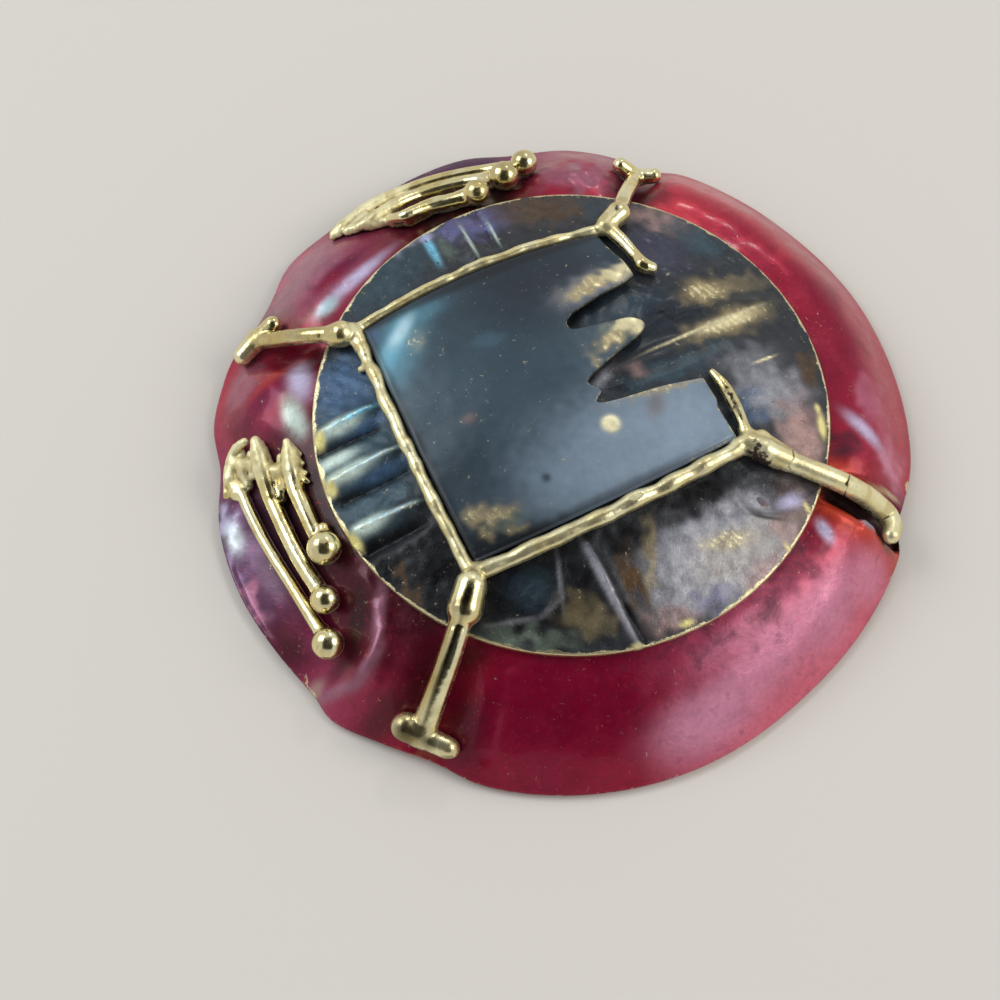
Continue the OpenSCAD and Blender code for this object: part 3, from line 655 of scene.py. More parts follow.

# Stains of the flange, in the order in which they are laid on, with a painted violet sheen on the right
# flange and a painted glare at the left rim
DISH_SPOTS = [
    Spot(25.6, 14.0, 5.0, 1.8, 110, "deep_crimson", 0.8),
    Spot(28.2, 8.6, 3.2, 1.6, 100, "deep_crimson", 0.7),
    Spot(20.0, 22.6, 7.0, 1.6, 135, "coral", 0.6),
    Spot(16.0, 26.6, 6.0, 1.0, 150, "pink", 0.5),
    # Painted violet sheen on the right flange
    Spot(31.3, -2.6, 1.2, 2.4, 10, "mauve", 0.6),
    Spot(-30.8, 6.0, 3.2, 1.8, 75, "dusty_mauve", 0.7),
    Spot(-31.0, 1.0, 1.4, 2.2, 0, "maroon", 0.5),
    Spot(-25.6, 16.6, 6.4, 3.6, 50, "dusty_mauve", 0.9),
    Spot(-28.4, 13.2, 1.6, 2.2, 60, "dull_copper", 0.6),
    Spot(-25.0, 11.2, 2.4, 1.2, 20, "dull_copper", 0.6),
    Spot(2.4, 27.6, 3.8, 2.0, 0, "dusty_mauve", 0.8),
    Spot(29.6, 2.6, 1.6, 2.6, 10, "mauve", 0.4),
    Spot(-31.0, -9.8, 5.0, 1.6, 105, "violet", 0.9),
    Spot(-28.6, -15.6, 4.0, 1.8, 120, "purple", 0.8),
    Spot(-25.2, -20.2, 2.6, 1.6, 130, "magenta", 0.9),
    # Painted glare at the left rim
    Spot(-31.9, -8.4, 0.8, 2.6, 14, "lavender", 0.8),
    Spot(-29.4, -15.8, 0.9, 2.4, 28, "mauve", 0.6),
    Spot(-2.6, -28.6, 6.5, 3.4, 0, "deep_crimson", 0.9),
    Spot(5.4, -29.0, 4.0, 3.0, 10, "deep_crimson", 0.9),
    Spot(21.8, -24.9, 9.0, 1.3, 45, "pink", 0.8),
    Spot(29.8, -15.4, 3.6, 1.4, 70, "coral", 0.8),
    Spot(8.0, 26.0, 1.2, 3.0, 70, "maroon", 0.7),
    Spot(-13.5, -31.3, 2.6, 0.8, 20, "copper", 0.5),
]

# Where the flange is darkened, by soot mottling and by painted shade under the bars and beside the straps,
# and where bare metal shows at its edge
DISH_SOOT_AND_SHADE = [
    Spot(20.6, -15.6, 7.4, 1.8, 55, "soot_and_shade", 1.0),
    Spot(12.6, -22.6, 5.4, 1.5, 28, "soot_and_shade", 0.7),
    Spot(17.4, -20.6, 5.4, 1.3, 45, "soot_and_shade", 0.45),
    Spot(26.6, -2.6, 1.4, 2.2, 70, "soot_and_shade", 1.0),
    Spot(7.0, -24.4, 4.0, 0.9, 15, "soot_and_shade", 0.5),
    # Painted shade: under the left bars, under the top bars, beside the top strap and beside the front strap
    # (four rows)
    Spot(-25.0, -8.0, 3.0, 8.0, 25, "soot_and_shade", 0.6),
    Spot(-13.0, 26.0, 9.0, 2.6, 25, "soot_and_shade", 0.5),
    Spot(7.6, 27.0, 2.0, 4.0, 90, "soot_and_shade", 0.5),
    Spot(-9.0, -27.0, 1.0, 5.0, 5, "soot_and_shade", 0.4),
]
DISH_BARE = [
    Spot(33.6, -4.0, 0.4, 1.2, 5, "pale_gold", 1.1),
    Spot(31.6, -14.2, 0.3, 1.0, 5, "pale_gold", 0.9),
    Spot(-26.6, -21.2, 2.4, 0.25, 128, "copper", 0.8),
    Spot(-23.6, -24.6, 1.4, 0.2, 135, "copper", 0.7),
]

# Marks of the flange with a set place: lips of the cut, the ridge by the first ball with a painted highlight
# along it and painted shade inside it, painted shade round the front strap, and painted sheen and glare on
# glossy edges
DISH_MARKS = [
    # Painted mauve sheen over the lower right flange (this and the next three rows)
    Spot(18.0, -23.4, 10.0, 2.4, 46, "mauve", 0.75),
    Spot(12.2, -28.6, 4.8, 2.2, 25, "mauve", 0.8),
    Spot(25.0, -17.4, 4.8, 2.2, 60, "mauve", 0.65),
    Spot(14.8, -21.8, 4.4, 1.2, 40, "mauve", 0.35),
    Spot(28.2, -11.0, 4.8, 0.8, -23, "orange_red", 0.8),
    Spot(31.0, -12.8, 1.2, 1.2, -30, "orange_red", 0.6),
    # Painted mauve sheen by the lower lip of the cut
    Spot(29.0, -14.2, 2.8, 1.8, 65, "mauve", 0.6),
    Spot(24.4, -8.8, 1.3, 0.9, -20, "orange_red", 1.0),
    # Painted lavender glares (this and the next row), then a painted mauve sheen
    Spot(24.1, -11.3, 0.6, 1.2, 30, "lavender", 0.9),
    Spot(28.6, -0.7, 2.4, 0.7, -42, "lavender", 0.75),
    Spot(31.0, -3.4, 1.8, 0.5, -40, "mauve", 0.6),
    Spot(25.4, -5.2, 1.5, 0.6, -5, "orange_red", 0.8),
    Spot(30.6, -5.9, 1.5, 0.16, -6, "pale_gold", 0.8),
    Spot(26.2, -3.2, 1.3, 0.8, 5, "soot_and_shade", 0.7),
    Spot(-21.6, 16.9, 4.8, 0.85, 48, "magenta", 1.0),
    Spot(-22.6, 15.6, 2.0, 0.5, 48, "crimson", 0.6),
    # Painted glares on the upper-left pillow: lavender and ice (this and the next row)
    Spot(-20.0, 15.7, 4.4, 0.7, 48, "lavender", 0.8),
    Spot(-22.6, 12.5, 1.3, 0.75, 48, "ice", 0.9),
    Spot(-27.0, 5.6, 3.2, 0.6, 40, "orange_red", 0.55),
    Spot(-28.0, 2.8, 2.8, 1.2, 35, "magenta", 0.9),
    # Painted glares on the left pillow: lavender and mint (this and the next row)
    Spot(-25.0, 4.3, 1.2, 2.3, 10, "lavender", 0.85),
    Spot(-25.4, 0.6, 1.0, 2.1, 20, "mint", 0.85),
    # Painted highlight along the ridge by the first ball (three rows)
    Spot(-16.9, -19.6, 0.6, 3.6, -4, "dusty_mauve", 0.9),
    Spot(-17.9, -23.9, 2.0, 0.6, 50, "dusty_mauve", 0.9),
    Spot(-20.8, -25.4, 2.4, 0.6, 8, "dusty_mauve", 0.9),
    # Painted shade inside the ridge, below the first ball
    Spot(-20.6, -23.4, 1.6, 0.8, 40, "maroon", 0.7),
    Spot(-23.2, -24.9, 1.3, 0.7, 40, "pinkish", 0.9),
    # Painted shade inside the ridge
    Spot(-19.0, -19.8, 1.1, 4.0, -5, "umber", 0.9),
    # Painted shade round the front strap and its foot (four rows)
    Spot(-16.0, -27.6, 3.8, 1.8, 25, "umber", 0.7),
    Spot(-12.0, -25.0, 3.0, 2.4, 60, "maroon", 0.7),
    Spot(-9.2, -23.4, 2.4, 1.4, 0, "umber", 0.7),
    Spot(-9.2, -29.6, 2.2, 3.2, 0, "maroon", 0.8),
    Spot(-25.6, -20.4, 2.8, 1.6, 130, "maroon", 0.95),
    # Painted glare at the left rim
    Spot(-31.2, -9.6, 0.9, 1.8, 20, "mint", 0.5),
]

# Solder and burnt places in the cut
DISH_SOLDER = [
    Spot(28.5, -9.9, 0.9, 0.45, -22, "plate_pale", 1.1),
    Spot(28.8, -9.7, 0.3, 0.2, -20, "lavender", 1.0),
    Spot(30.4, -11.2, 1.0, 0.6, -40, "brown", 0.9),
    Spot(26.0, -8.6, 1.4, 0.4, -15, "brown", 0.6),
]

# Stains of the disc, in the order in which they are laid on. The dark spots under the plate's torn edge and
# in front of the front wire are painted shade, the black on the front left is a painted dark reflection, and
# the grey-violet at the right is patina with a painted reflection.
DISC_SPOTS = [
    Spot(-19.6, -3.0, 9.0, 5.0, 80, "slate", 1.0),
    Spot(-20.6, 2.8, 3.6, 3.0, 80, "blue_slate", 0.9),
    Spot(-16.4, 14.6, 6.0, 2.6, 50, "slate", 0.8),
    Spot(-8.6, 21.0, 3.6, 2.0, 15, "violet_slate", 0.8),
    Spot(-9.6, 20.4, 2.0, 1.3, 20, "violet_slate", 0.9),
    Spot(-15.4, 19.2, 1.6, 0.9, 50, "lavender", 0.6),
    Spot(-2.0, 22.6, 5.0, 2.0, 5, "brown", 0.7),
    Spot(4.6, 22.6, 3.0, 1.6, 0, "slate", 0.6),
    Spot(9.8, 21.3, 3.6, 1.4, -25, "pinkish", 0.7),
    Spot(9.0, 17.2, 3.6, 2.6, -30, "violet_slate", 0.2),
    Spot(13.2, 19.2, 3.6, 1.5, -38, "slate", 0.9),
    Spot(-17.4, -9.4, 5.4, 3.2, 75, "slate", 0.9),
    Spot(10.6, 9.6, 5.6, 3.4, 30, "plate_dark", 0.8),
    Spot(16.6, 13.6, 4.0, 1.1, 20, "old_gold", 0.35),
    Spot(13.6, 12.4, 2.2, 1.5, 10, "old_gold", 0.6),
    Spot(21.0, 10.0, 1.8, 4.4, 25, "bronze", 0.9),
    Spot(15.6, 8.8, 4.4, 1.3, 28, "old_gold", 0.6),
    # Patina with a painted reflection: grey-violet at the right (this and the next row)
    Spot(17.2, 5.4, 3.2, 1.2, 20, "grey_violet", 0.3),
    Spot(19.4, 1.8, 3.6, 3.0, 0, "grey_violet", 0.7),
    Spot(17.2, -0.6, 1.4, 2.4, 0, "blue_slate", 0.6),
    Spot(23.4, 4.6, 0.9, 1.8, 5, "brown", 0.7),
    Spot(22.3, -2.6, 2.0, 3.8, 5, "pinkish", 1.0),
    Spot(9.4, 3.4, 5.0, 1.1, 28, "plate_dark", 0.8),
    Spot(6.8, 3.2, 1.1, 0.9, 20, "pinkish", 0.5),
    # Painted shade under the plate's torn edge (two rows)
    Spot(1.8, 9.4, 2.0, 1.2, 35, "black", 1.0),
    Spot(4.0, 11.0, 3.0, 1.2, 35, "plate_dark", 0.5),
    # Painted dark reflection on the disc's front left (two rows)
    Spot(-2.0, -18.6, 7.4, 5.0, 0, "black", 1.0),
    Spot(-10.8, -17.2, 3.0, 3.4, 20, "black", 0.95),
    # Patina with a painted reflection: grey-violet at the lower right (two rows)
    Spot(14.4, -14.6, 7.2, 4.2, 22, "grey_violet", 1.1),
    Spot(12.6, -17.6, 4.6, 1.8, 30, "grey_violet", 0.8),
    Spot(15.6, -14.6, 5.4, 2.6, 30, "old_gold", 0.3),
    Spot(21.4, -9.8, 1.6, 3.2, 25, "dull_copper", 0.7),
    Spot(18.2, -16.2, 2.6, 1.0, 40, "pinkish", 0.7),
    Spot(20.6, -12.4, 1.2, 2.6, 40, "pinkish", 0.6),
    Spot(13.4, -18.8, 1.8, 1.1, 25, "violet_slate", 0.5),
    Spot(9.6, -20.8, 2.6, 1.2, 20, "pinkish", 0.6),
    # Painted shade in front of the front wire (two rows)
    Spot(12.4, -9.2, 5.4, 1.5, 32, "black", 1.0),
    Spot(5.6, -13.8, 2.6, 1.6, 30, "black", 1.0),
    Spot(6.1, -17.4, 0.9, 2.4, 27, "brown", 1.0),
    Spot(7.7, -15.4, 0.6, 3.4, 0, "old_gold", 0.6),
    # Painted dark reflection on the disc's front left
    Spot(-4.0, -18.0, 2.6, 1.8, -10, "plate_dark", 0.5),
    Spot(-3.6, -22.6, 4.2, 0.95, -8, "sage", 0.9),
    Spot(0.8, -19.9, 1.6, 1.3, 10, "old_gold", 0.3),
    Spot(2.6, -21.2, 2.2, 1.1, 10, "old_gold", 0.35),
    # Painted dark reflection on the disc's front left
    Spot(-16.4, -15.4, 3.0, 1.8, -50, "black", 1.0),
    Spot(-13.8, -19.0, 1.6, 1.0, -45, "brown", 0.7),
    Spot(-14.6, -16.8, 0.5, 1.4, 10, "brown", 0.6),
    # Painted shade under the plate's torn edge (two rows)
    Spot(6.0, 5.4, 3.4, 1.4, 30, "plate_dark", 0.6),
    Spot(5.4, 9.6, 4.6, 1.6, 30, "plate_blue", 0.8),
    Spot(12.4, 4.6, 4.0, 0.9, 28, "slate", 0.6),
    Spot(9.4, 2.4, 4.4, 0.9, 22, "slate", 0.8),
    # Painted dark reflection on the disc's front left
    Spot(-12.2, -14.2, 3.4, 1.8, -50, "black", 0.8),
]

# Marks of the disc with a set place: painted highlights on the flutes' crests and painted shade in their
# cuts, painted light and shade in the dimple, painted glints at the back left, a painted highlight of the
# plate's ledge, and spots of solder
DISC_MARKS = [
    # Painted shade in the flutes' cuts (three rows)
    Spot(-20.2, -3.1, 3.6, 0.5, 21, "black", 0.75),
    Spot(-19.0, -8.2, 3.8, 0.5, 23, "black", 0.85),
    Spot(-16.4, -13.3, 3.6, 0.9, 23, "black", 1.0),
    Spot(-17.2, -4.2, 3.0, 0.5, 22, "slate", 0.7),
    Spot(-16.4, -9.4, 3.0, 0.6, 22, "slate", 0.7),
    Spot(-18.4, -1.6, 2.2, 0.7, 22, "blue_slate", 0.8),
    Spot(-16.8, -6.6, 2.6, 0.7, 22, "blue_slate", 0.8),
    # Painted highlights on the flutes' crests: mint, cyan and ice (seven rows)
    Spot(-21.0, -1.6, 2.2, 0.8, 23, "mint", 1.1),
    Spot(-19.4, -0.6, 2.4, 0.32, 23, "cyan", 0.9),
    Spot(-21.3, -4.9, 2.2, 0.7, 20, "mint", 0.8),
    Spot(-20.0, -6.4, 2.6, 0.8, 24, "mint", 1.1),
    Spot(-17.6, -5.3, 2.8, 0.26, 24, "ice", 0.9),
    Spot(-17.9, -11.7, 2.0, 0.7, 24, "mint", 1.1),
    Spot(-16.0, -10.8, 2.8, 0.24, 20, "ice", 0.9),
    Spot(-22.75, -2.75, 0.5, 0.85, 10, "spot_gold", 1.6),
    Spot(-21.5, -7.8, 0.5, 0.7, 30, "spot_gold", 1.4),
    Spot(-19.1, -13.1, 0.45, 0.85, 40, "spot_gold", 1.4),
    Spot(24.3, -1.2, 0.35, 1.3, 5, "spot_gold", 1.2),
    Spot(24.0, 0.6, 0.25, 0.5, 15, "spot_gold", 1.0),
    Spot(22.4, -9.6, 0.22, 0.7, 30, "spot_gold", 0.9),
    Spot(20.6, -13.8, 0.22, 0.9, 40, "spot_gold", 0.9),
    Spot(16.5, -18.2, 1.2, 0.3, 42, "old_gold", 0.8),
    Spot(10.9, -21.0, 0.7, 0.3, 20, "spot_gold", 1.0),
    Spot(6.5, -23.2, 0.6, 0.3, 10, "spot_gold", 1.0),
    Spot(14.8, -13.4, 2.8, 0.9, 15, "old_gold", 0.5),
    Spot(16.0, 9.2, 3.8, 0.9, 28, "old_gold", 0.62),
    Spot(13.6, 12.4, 1.9, 1.2, 10, "old_gold", 0.6),
    Spot(15.6, 9.0, 3.2, 0.6, 28, "pale_gold", 0.8),
    # Painted highlight of the plate's torn ledge
    Spot(3.6, 2.0, 1.3, 0.5, 60, "grey_violet", 0.8),
    Spot(13.2, 8.0, 5.6, 0.2, 30, "pale_gold", 0.8),
    Spot(-2.8, -18.2, 2.0, 2.0, 0, "slate", 0.45),
    Spot(-0.5, -17.6, 0.24, 2.6, 6, "grey_violet", 0.3),
    Spot(-4.6, -21.1, 2.6, 0.24, 8, "grey_violet", 0.3),
    Spot(-1.4, -20.0, 1.4, 0.24, 42, "grey_violet", 0.28),
    Spot(19.1, 5.2, 1.2, 0.14, 28, "pale_gold", 0.8),
    # Painted highlight on a chased crest and painted shade in its cut (two rows)
    Spot(4.1, -18.8, 0.42, 5.0, 29, "grey_violet", 0.9),
    Spot(5.2, -19.4, 0.4, 4.6, 27, "black", 1.0),
    # Painted glints at the back left (two rows)
    Spot(-12.6, 18.0, 0.42, 2.2, 23, "cyan", 1.0),
    Spot(-13.2, 19.6, 0.8, 0.5, 23, "lavender", 0.6),
    Spot(-11.2, 18.0, 0.6, 1.6, 23, "sage", 0.7),
    Spot(-7.4, 20.6, 1.1, 0.8, 10, "violet_slate", 0.9),
    # Painted highlights along the back-left punched lines (two rows)
    Spot(-8.9, 18.4, 0.16, 2.4, 23, "mint", 0.8),
    Spot(-6.7, 20.0, 0.12, 2.2, 23, "mint", 0.6),
    # Painted shade on the dimple's lower side, painted light inside it and a painted glint at its right
    # (three rows)
    Spot(18.6, -10.9, 1.8, 0.22, -4, "black", 0.7),
    Spot(17.2, -9.3, 1.6, 0.9, 0, "grey_violet", 0.9),
    Spot(20.8, -9.1, 1.3, 0.8, 20, "lavender", 0.7),
]

# Stains and worn gold of the plate, with a painted reflection that makes the lower right paler and the back
# darker
PLATE_SPOTS = [
    # Painted reflection: paler lower right and darker back (two rows)
    Spot(8.0, -5.0, 14.0, 6.5, 30, "plate_pale", 0.95),
    Spot(-2.0, 13.0, 9.0, 6.5, 25, "plate_dark", 0.9),
    Spot(-9.0, -9.0, 4.0, 7.0, 25, "plate_dark", 0.5),
    Spot(-6.4, -14.4, 5.6, 2.0, 14, "black", 0.85),
    Spot(-2.4, -13.8, 3.4, 0.8, 25, "black", 0.5),
    Spot(-5.2, -12.6, 2.0, 0.7, 20, "sage", 0.5),
    Spot(-7.0, 5.6, 1.6, 0.8, 10, "plate_cyan", 0.2),
    Spot(-14.0, 6.3, 1.3, 1.1, 60, "old_gold", 0.5),
    Spot(-6.2, -11.9, 1.9, 0.8, 15, "old_gold", 0.75),
    Spot(-8.3, -11.8, 1.0, 0.8, 40, "old_gold", 0.7),
    Spot(-7.2, -13.7, 0.7, 0.5, 10, "old_gold", 0.6),
    Spot(-4.4, -13.2, 1.0, 0.4, 10, "old_gold", 0.4),
    Spot(2.8, 11.6, 3.8, 1.6, 30, "grey_violet", 0.5),
    Spot(3.6, 12.3, 3.2, 0.9, 30, "old_gold", 1.0),
    Spot(5.4, 13.5, 2.0, 0.7, 30, "pale_gold", 0.9),
    Spot(1.6, 10.6, 1.6, 0.5, 30, "old_gold", 0.7),
    Spot(5.4, 6.6, 2.4, 1.2, 30, "sage", 0.5),
    Spot(6.2, 7.2, 1.8, 0.9, 20, "pale_gold", 1.2),
    Spot(4.4, 5.4, 1.6, 0.8, 40, "old_gold", 0.9),
    Spot(3.0, 3.0, 0.5, 1.3, 35, "old_gold", 0.4),
    Spot(9.0, 0.5, 4.6, 0.5, 20, "old_gold", 0.65),
    Spot(4.4, -0.4, 0.4, 1.4, 30, "plate_pale", 0.8),
]

# Marks of the plate with a set place: a painted cyan sheen along the left side, the brass dot, small spots
# and the worn smear below the slot
PLATE_MARKS = [
    # Painted cyan sheen along the left side (five rows)
    Spot(-15.6, 5.0, 5.6, 2.2, 68, "plate_cyan", 0.8),
    Spot(-14.2, 8.9, 3.4, 1.2, 28, "plate_cyan", 0.7),
    Spot(-15.9, 6.0, 3.6, 1.0, 70, "cyan", 0.45),
    Spot(-15.3, 7.4, 2.0, 0.7, 62, "ice", 0.75),
    Spot(-16.9, 2.4, 0.6, 2.2, 20, "ice", 0.35),
    Spot(-18.0, 7.2, 0.9, 0.9, 0, "blue_slate", 0.7),
    Spot(-8.7, -2.6, 0.75, 0.5, 20, "dull_copper", 0.6),
    Spot(-1.7, -8.6, 0.45, 0.45, 0, "plate_dark", 0.8),
    Spot(8.4, -1.4, 0.9, 1.4, -20, "dull_copper", 0.5),
    Spot(4.2, -3.35, 0.72, 0.72, 0, "pale_brass", 2.4),
    Spot(4.3, -3.5, 0.16, 0.14, 0, "copper", 0.9),
]

# Camera, lights and the dark card behind the camera, in metres from the middle of the floor
CAMERA_PLACE = (-0.005995, -0.08915, 0.18128)
CAMERA_TILT = 25.0
CAMERA_LENS = 74.28
CAMERA_SENSOR = 36
CAMERA_NEAR = 0.01
Lamp = namedtuple("Lamp", "name x y z size power red green blue")
LAMPS = [
    Lamp("sky_left", -0.40, 0.16, 0.42, 0.32, 1.2, 0.90, 0.96, 1.0),
    Lamp("window_back", 0.14, 0.46, 0.46, 0.045, 0.22, 1.0, 0.99, 0.97),
    Lamp("sky_right", 0.46, -0.06, 0.44, 0.36, 1.2, 1.0, 0.98, 0.95),
]
CARD_HALF_WIDTH = 0.15
CARD_HALF_HEIGHT = 0.2
CARD_BEHIND = 1.08
ROOM_COLOUR = (0.93, 0.95, 1.0, 1)


def linear(colour):
    """Screen values 0..255 as light: c / 12.92 below 0.04045, else ((c + 0.055) / 1.055)^2.4."""
    c = np.array(colour, float) / 255
    return np.where(c <= 0.04045, c / 12.92, ((c + 0.055) / 1.055) ** 2.4)


def hermite(u, start, leave, end, arrive):
    """Cubic from start to end at share u of a step, leave and arrive being its slopes times the step."""
    return (
        (2 * u**3 - 3 * u**2 + 1) * start
        + (u**3 - 2 * u**2 + u) * leave
        + (3 * u**2 - 2 * u**3) * end
        + (u**3 - u**2) * arrive
    )


def step_of(x, t):
    """The step of the rising numbers x in which each t lies, its length and the passed share of it."""
    i = np.clip(np.searchsorted(x, t, side="right") - 1, 0, len(x) - 2)
    h = x[i + 1] - x[i]
    return i, h, (t - x[i]) / h


def around(table, column, a):
    """Value at angle a on the cubic curve round a table, slopes (y[i+1] - y[i-1]) / (x[i+1] - x[i-1])."""
    rows = np.array(table, float)
    x = np.concatenate([rows[-2:, 0] - 360, rows[:, 0], rows[:3, 0] + 360])
    y = np.concatenate([rows[-2:, column], rows[:, column], rows[:3, column]])
    i, h, u = step_of(x, np.mod(a, 360))
    leave = (y[i + 1] - y[i - 1]) / (x[i + 1] - x[i - 1]) * h
    arrive = (y[i + 2] - y[i]) / (x[i + 2] - x[i]) * h
    return hermite(u, y[i], leave, y[i + 1], arrive)


def through(x, y, t):
    """Values at t on the cubic curve through rising x and y, with the slopes that numpy's gradient gives."""
    slope = np.gradient(y, x, axis=0)
    i, h, u = step_of(x, t)
    if y.ndim > 1:
        h, u = h[:, None], u[:, None]
    return hermite(u, y[i], slope[i] * h, y[i + 1], slope[i + 1] * h)


def smooth_path(stations, step):
    """Points about every step along the cubic curve through stations, by chord length."""
    rows = np.array(stations, float)
    x = np.concatenate([[0], np.cumsum(np.linalg.norm(np.diff(rows[:, :3], axis=0), axis=1))])
    return through(x, rows, np.linspace(0, x[-1], max(3, int(x[-1] / step) + 1)))


def ripple(points, wavelength, seed, waves=24):
    """Smooth unevenness: sum of sin(2 pi p . k / wavelength + phase) over random k, over sqrt(waves / 2)."""
    draw = np.random.default_rng(seed)
    k = draw.normal(size=(waves, points.shape[1]))
    k *= draw.uniform(0.6, 1.5, size=(waves, 1)) / np.linalg.norm(k, axis=1, keepdims=True)
    phase = draw.uniform(0, 2 * math.pi, size=waves)
    total = np.zeros(len(points))
    for row, shift in zip(k, phase):
        total += np.sin(2 * math.pi / wavelength * (points @ row) + shift)
    return total / math.sqrt(waves / 2)


def uneven(name, points):
    """Sum of height * ripple over the waves of that name."""
    return sum(wave.height * ripple(points, wave.length, wave.seed) for wave in WAVES[name])


def smoothstep(low, high, x):
    """s^2 (3 - 2 s) with s the share of the way from low to high."""
    s = np.clip((x - low) / (high - low), 0, 1)
    return s * s * (3 - 2 * s)


def segment_distance(row, x, y):
    """Distance from places to the line of a row, from end to end."""
    dx, dy = row.x2 - row.x1, row.y2 - row.y1
    s = np.clip(((x - row.x1) * dx + (y - row.y1) * dy) / (dx * dx + dy * dy), 0, 1)
    return np.hypot(x - row.x1 - s * dx, y - row.y1 - s * dy)


def rises(table, x, y, power):
    """Height * exp(-(distance / half width)^power) of each of a table's lines."""
    return [row.height * np.exp(-((segment_distance(row, x, y) / row.half_width) ** power)) for row in table]


def ridges(table, x, y):
    """Sum of the rises over a table's lines, round at their crests."""
    return sum(rises(table, x, y, 2))


def folds(table, x, y, power):
    """Greatest rise plus deepest cut of a table's lines: power 1 makes a sharp crest."""
    each = rises(table, x, y, power)
    return np.maximum(np.max(each, axis=0), 0) + np.minimum(np.min(each, axis=0), 0)


def side_of(row, x, y):
    """Signed distance to the endless line through a row, positive to its left."""
    dx, dy = row.x2 - row.x1, row.y2 - row.y1
    return (dx * (y - row.y1) - dy * (x - row.x1)) / math.hypot(dx, dy)


def in_cut(x, y):
    """1 between the two lips of the cut, 0 outside it: product of smoothsteps of the signed distances."""
    below = smoothstep(0.0, 0.8, -side_of(CUT_UPPER, x, y))
    above = smoothstep(0.0, 1.2, side_of(CUT_LOWER, x, y))
    return below * above * smoothstep(22.0, 26.0, x)


def rim_r(a):
    """Radius of the rim at angle a."""
    return DISH_R + around(RIM, 1, a)


def rim_top(a):
    """Height of the sheet's upper face at the rim."""
    return around(RIM, 2, a) + 0.7 * SHEET


def shoulder(a):
    """The shoulder is a circle about the disc's middle, here measured from the dish's."""
    return SHOULDER_R + DISC_X * np.cos(np.radians(a)) + DISC_Y * np.sin(np.radians(a))


def flange_r(t, a):
    """Distance from the middle at share t of the way from the shoulder to the rim."""
    return shoulder(a) + t * (rim_r(a) - shoulder(a))


def dents(r, a):
    """Sum of height * exp(-(along / half length)^2 - (across / half width)^2) over the dents."""
    total = 0
    for row in DENTS:
        middle = DISH_R - row.inset
        off = np.mod(a - row.angle + 180, 360) - 180
        along = np.radians(off) * middle / row.half_length
        total = total + row.height * np.exp(-(along**2) - ((r - middle) / row.half_width) ** 2)
    return total


def flange_fall(t, a):
    """Slope of the flange, without its bulges: fall / width * (cone + 2 (1 - cone) t)."""
    return (SHOULDER_Z - rim_top(a)) / (rim_r(a) - shoulder(a)) * (FLANGE_CONE + 2 * (1 - FLANGE_CONE) * t)


def flange_top(t, a):
    """Height of the flange: shoulder - fall (cone t + (1 - cone) t^2) + crown 16 t^2 (1 - t)^2 + dents."""
    return (
        SHOULDER_Z
        - (SHOULDER_Z - rim_top(a)) * (FLANGE_CONE * t + (1 - FLANGE_CONE) * t * t)
        + around(RIM, 3, a) * 16 * t * t * (1 - t) ** 2
        + dents(flange_r(t, a), a) * np.minimum(1, 1.6 * np.sqrt(np.clip(t * (1 - t), 0, None)))
    )


def cap_z(share):
    """Height of the dish inside the shoulder: shoulder + rise (1 - share^2)."""
    return SHOULDER_Z + CROWN_RISE * (1 - share * share)


def middle_and_drop():
    """Middle of the outline and height of the rim's lowest point, measured at its spokes."""
    a = np.arange(OUTLINE_SPOKES) * 360 / OUTLINE_SPOKES
    r = flange_r(1, a)
    x, y = r * np.cos(np.radians(a)), r * np.sin(np.radians(a))
    lowest = (rim_top(a) - SHEET * np.cos(np.arctan(flange_fall(1, a)))).min()
    return np.array([(x.max() + x.min()) / 2, (y.max() + y.min()) / 2, lowest])


MIDDLE = middle_and_drop()


def disc_dome(x, y):
    """Height of the disc without its chasing: base + rise (1 - (distance / radius)^2)."""
    return DISC_Z + DISC_RISE * (1 - ((x - DISC_X) ** 2 + (y - DISC_Y) ** 2) / DISC_R**2)


def dish_top(x, y):
    """Height of the dish's upper face at a place."""
    r = np.hypot(x, y)
    a = np.degrees(np.arctan2(y, x))
    edge = shoulder(a)
    t = np.clip((r - edge) / (rim_r(a) - edge), 0, 1)
    return np.where(r <= edge, cap_z(np.minimum(r / edge, 1)), flange_top(t, a))


def below_wire(x, y):
    """Height of the disc, or of the dish outside it."""
    on_disc = np.hypot(x - DISC_X, y - DISC_Y) <= DISC_R
    return np.where(on_disc, disc_dome(x, y) + ridges(CHASING, x, y), dish_top(x, y))


def seated(rows):
    """Stations [x, y, height above the seat, radius] as [x, y, z, radius], resting on what lies below."""
    rows = np.array(rows, float)
    share = np.repeat([0, 0.4, 0.7, 0.9], 8)[None]
    turn = np.radians(np.tile(np.arange(0, 360, 45), 4))[None]
    x = rows[:, :1] + share * rows[:, 3:] * np.cos(turn)
    y = rows[:, 1:2] + share * rows[:, 3:] * np.sin(turn)
    z = (below_wire(x, y) + rows[:, 3:] * np.sqrt(1 - share**2)).max(axis=1)
    return np.column_stack([rows[:, 0], rows[:, 1], z + SEAT + rows[:, 2], rows[:, 3]])


def bow(s):
    """4 s (1 - s)."""
    return 4 * s * (1 - s)


def outward(a, b):
    """Unit direction square to the side from a to b, away from the middle."""
    n = np.array([b[1] - a[1], a[0] - b[0]]) / np.linalg.norm(b - a)
    return n if n @ (a + b) > 0 else -n


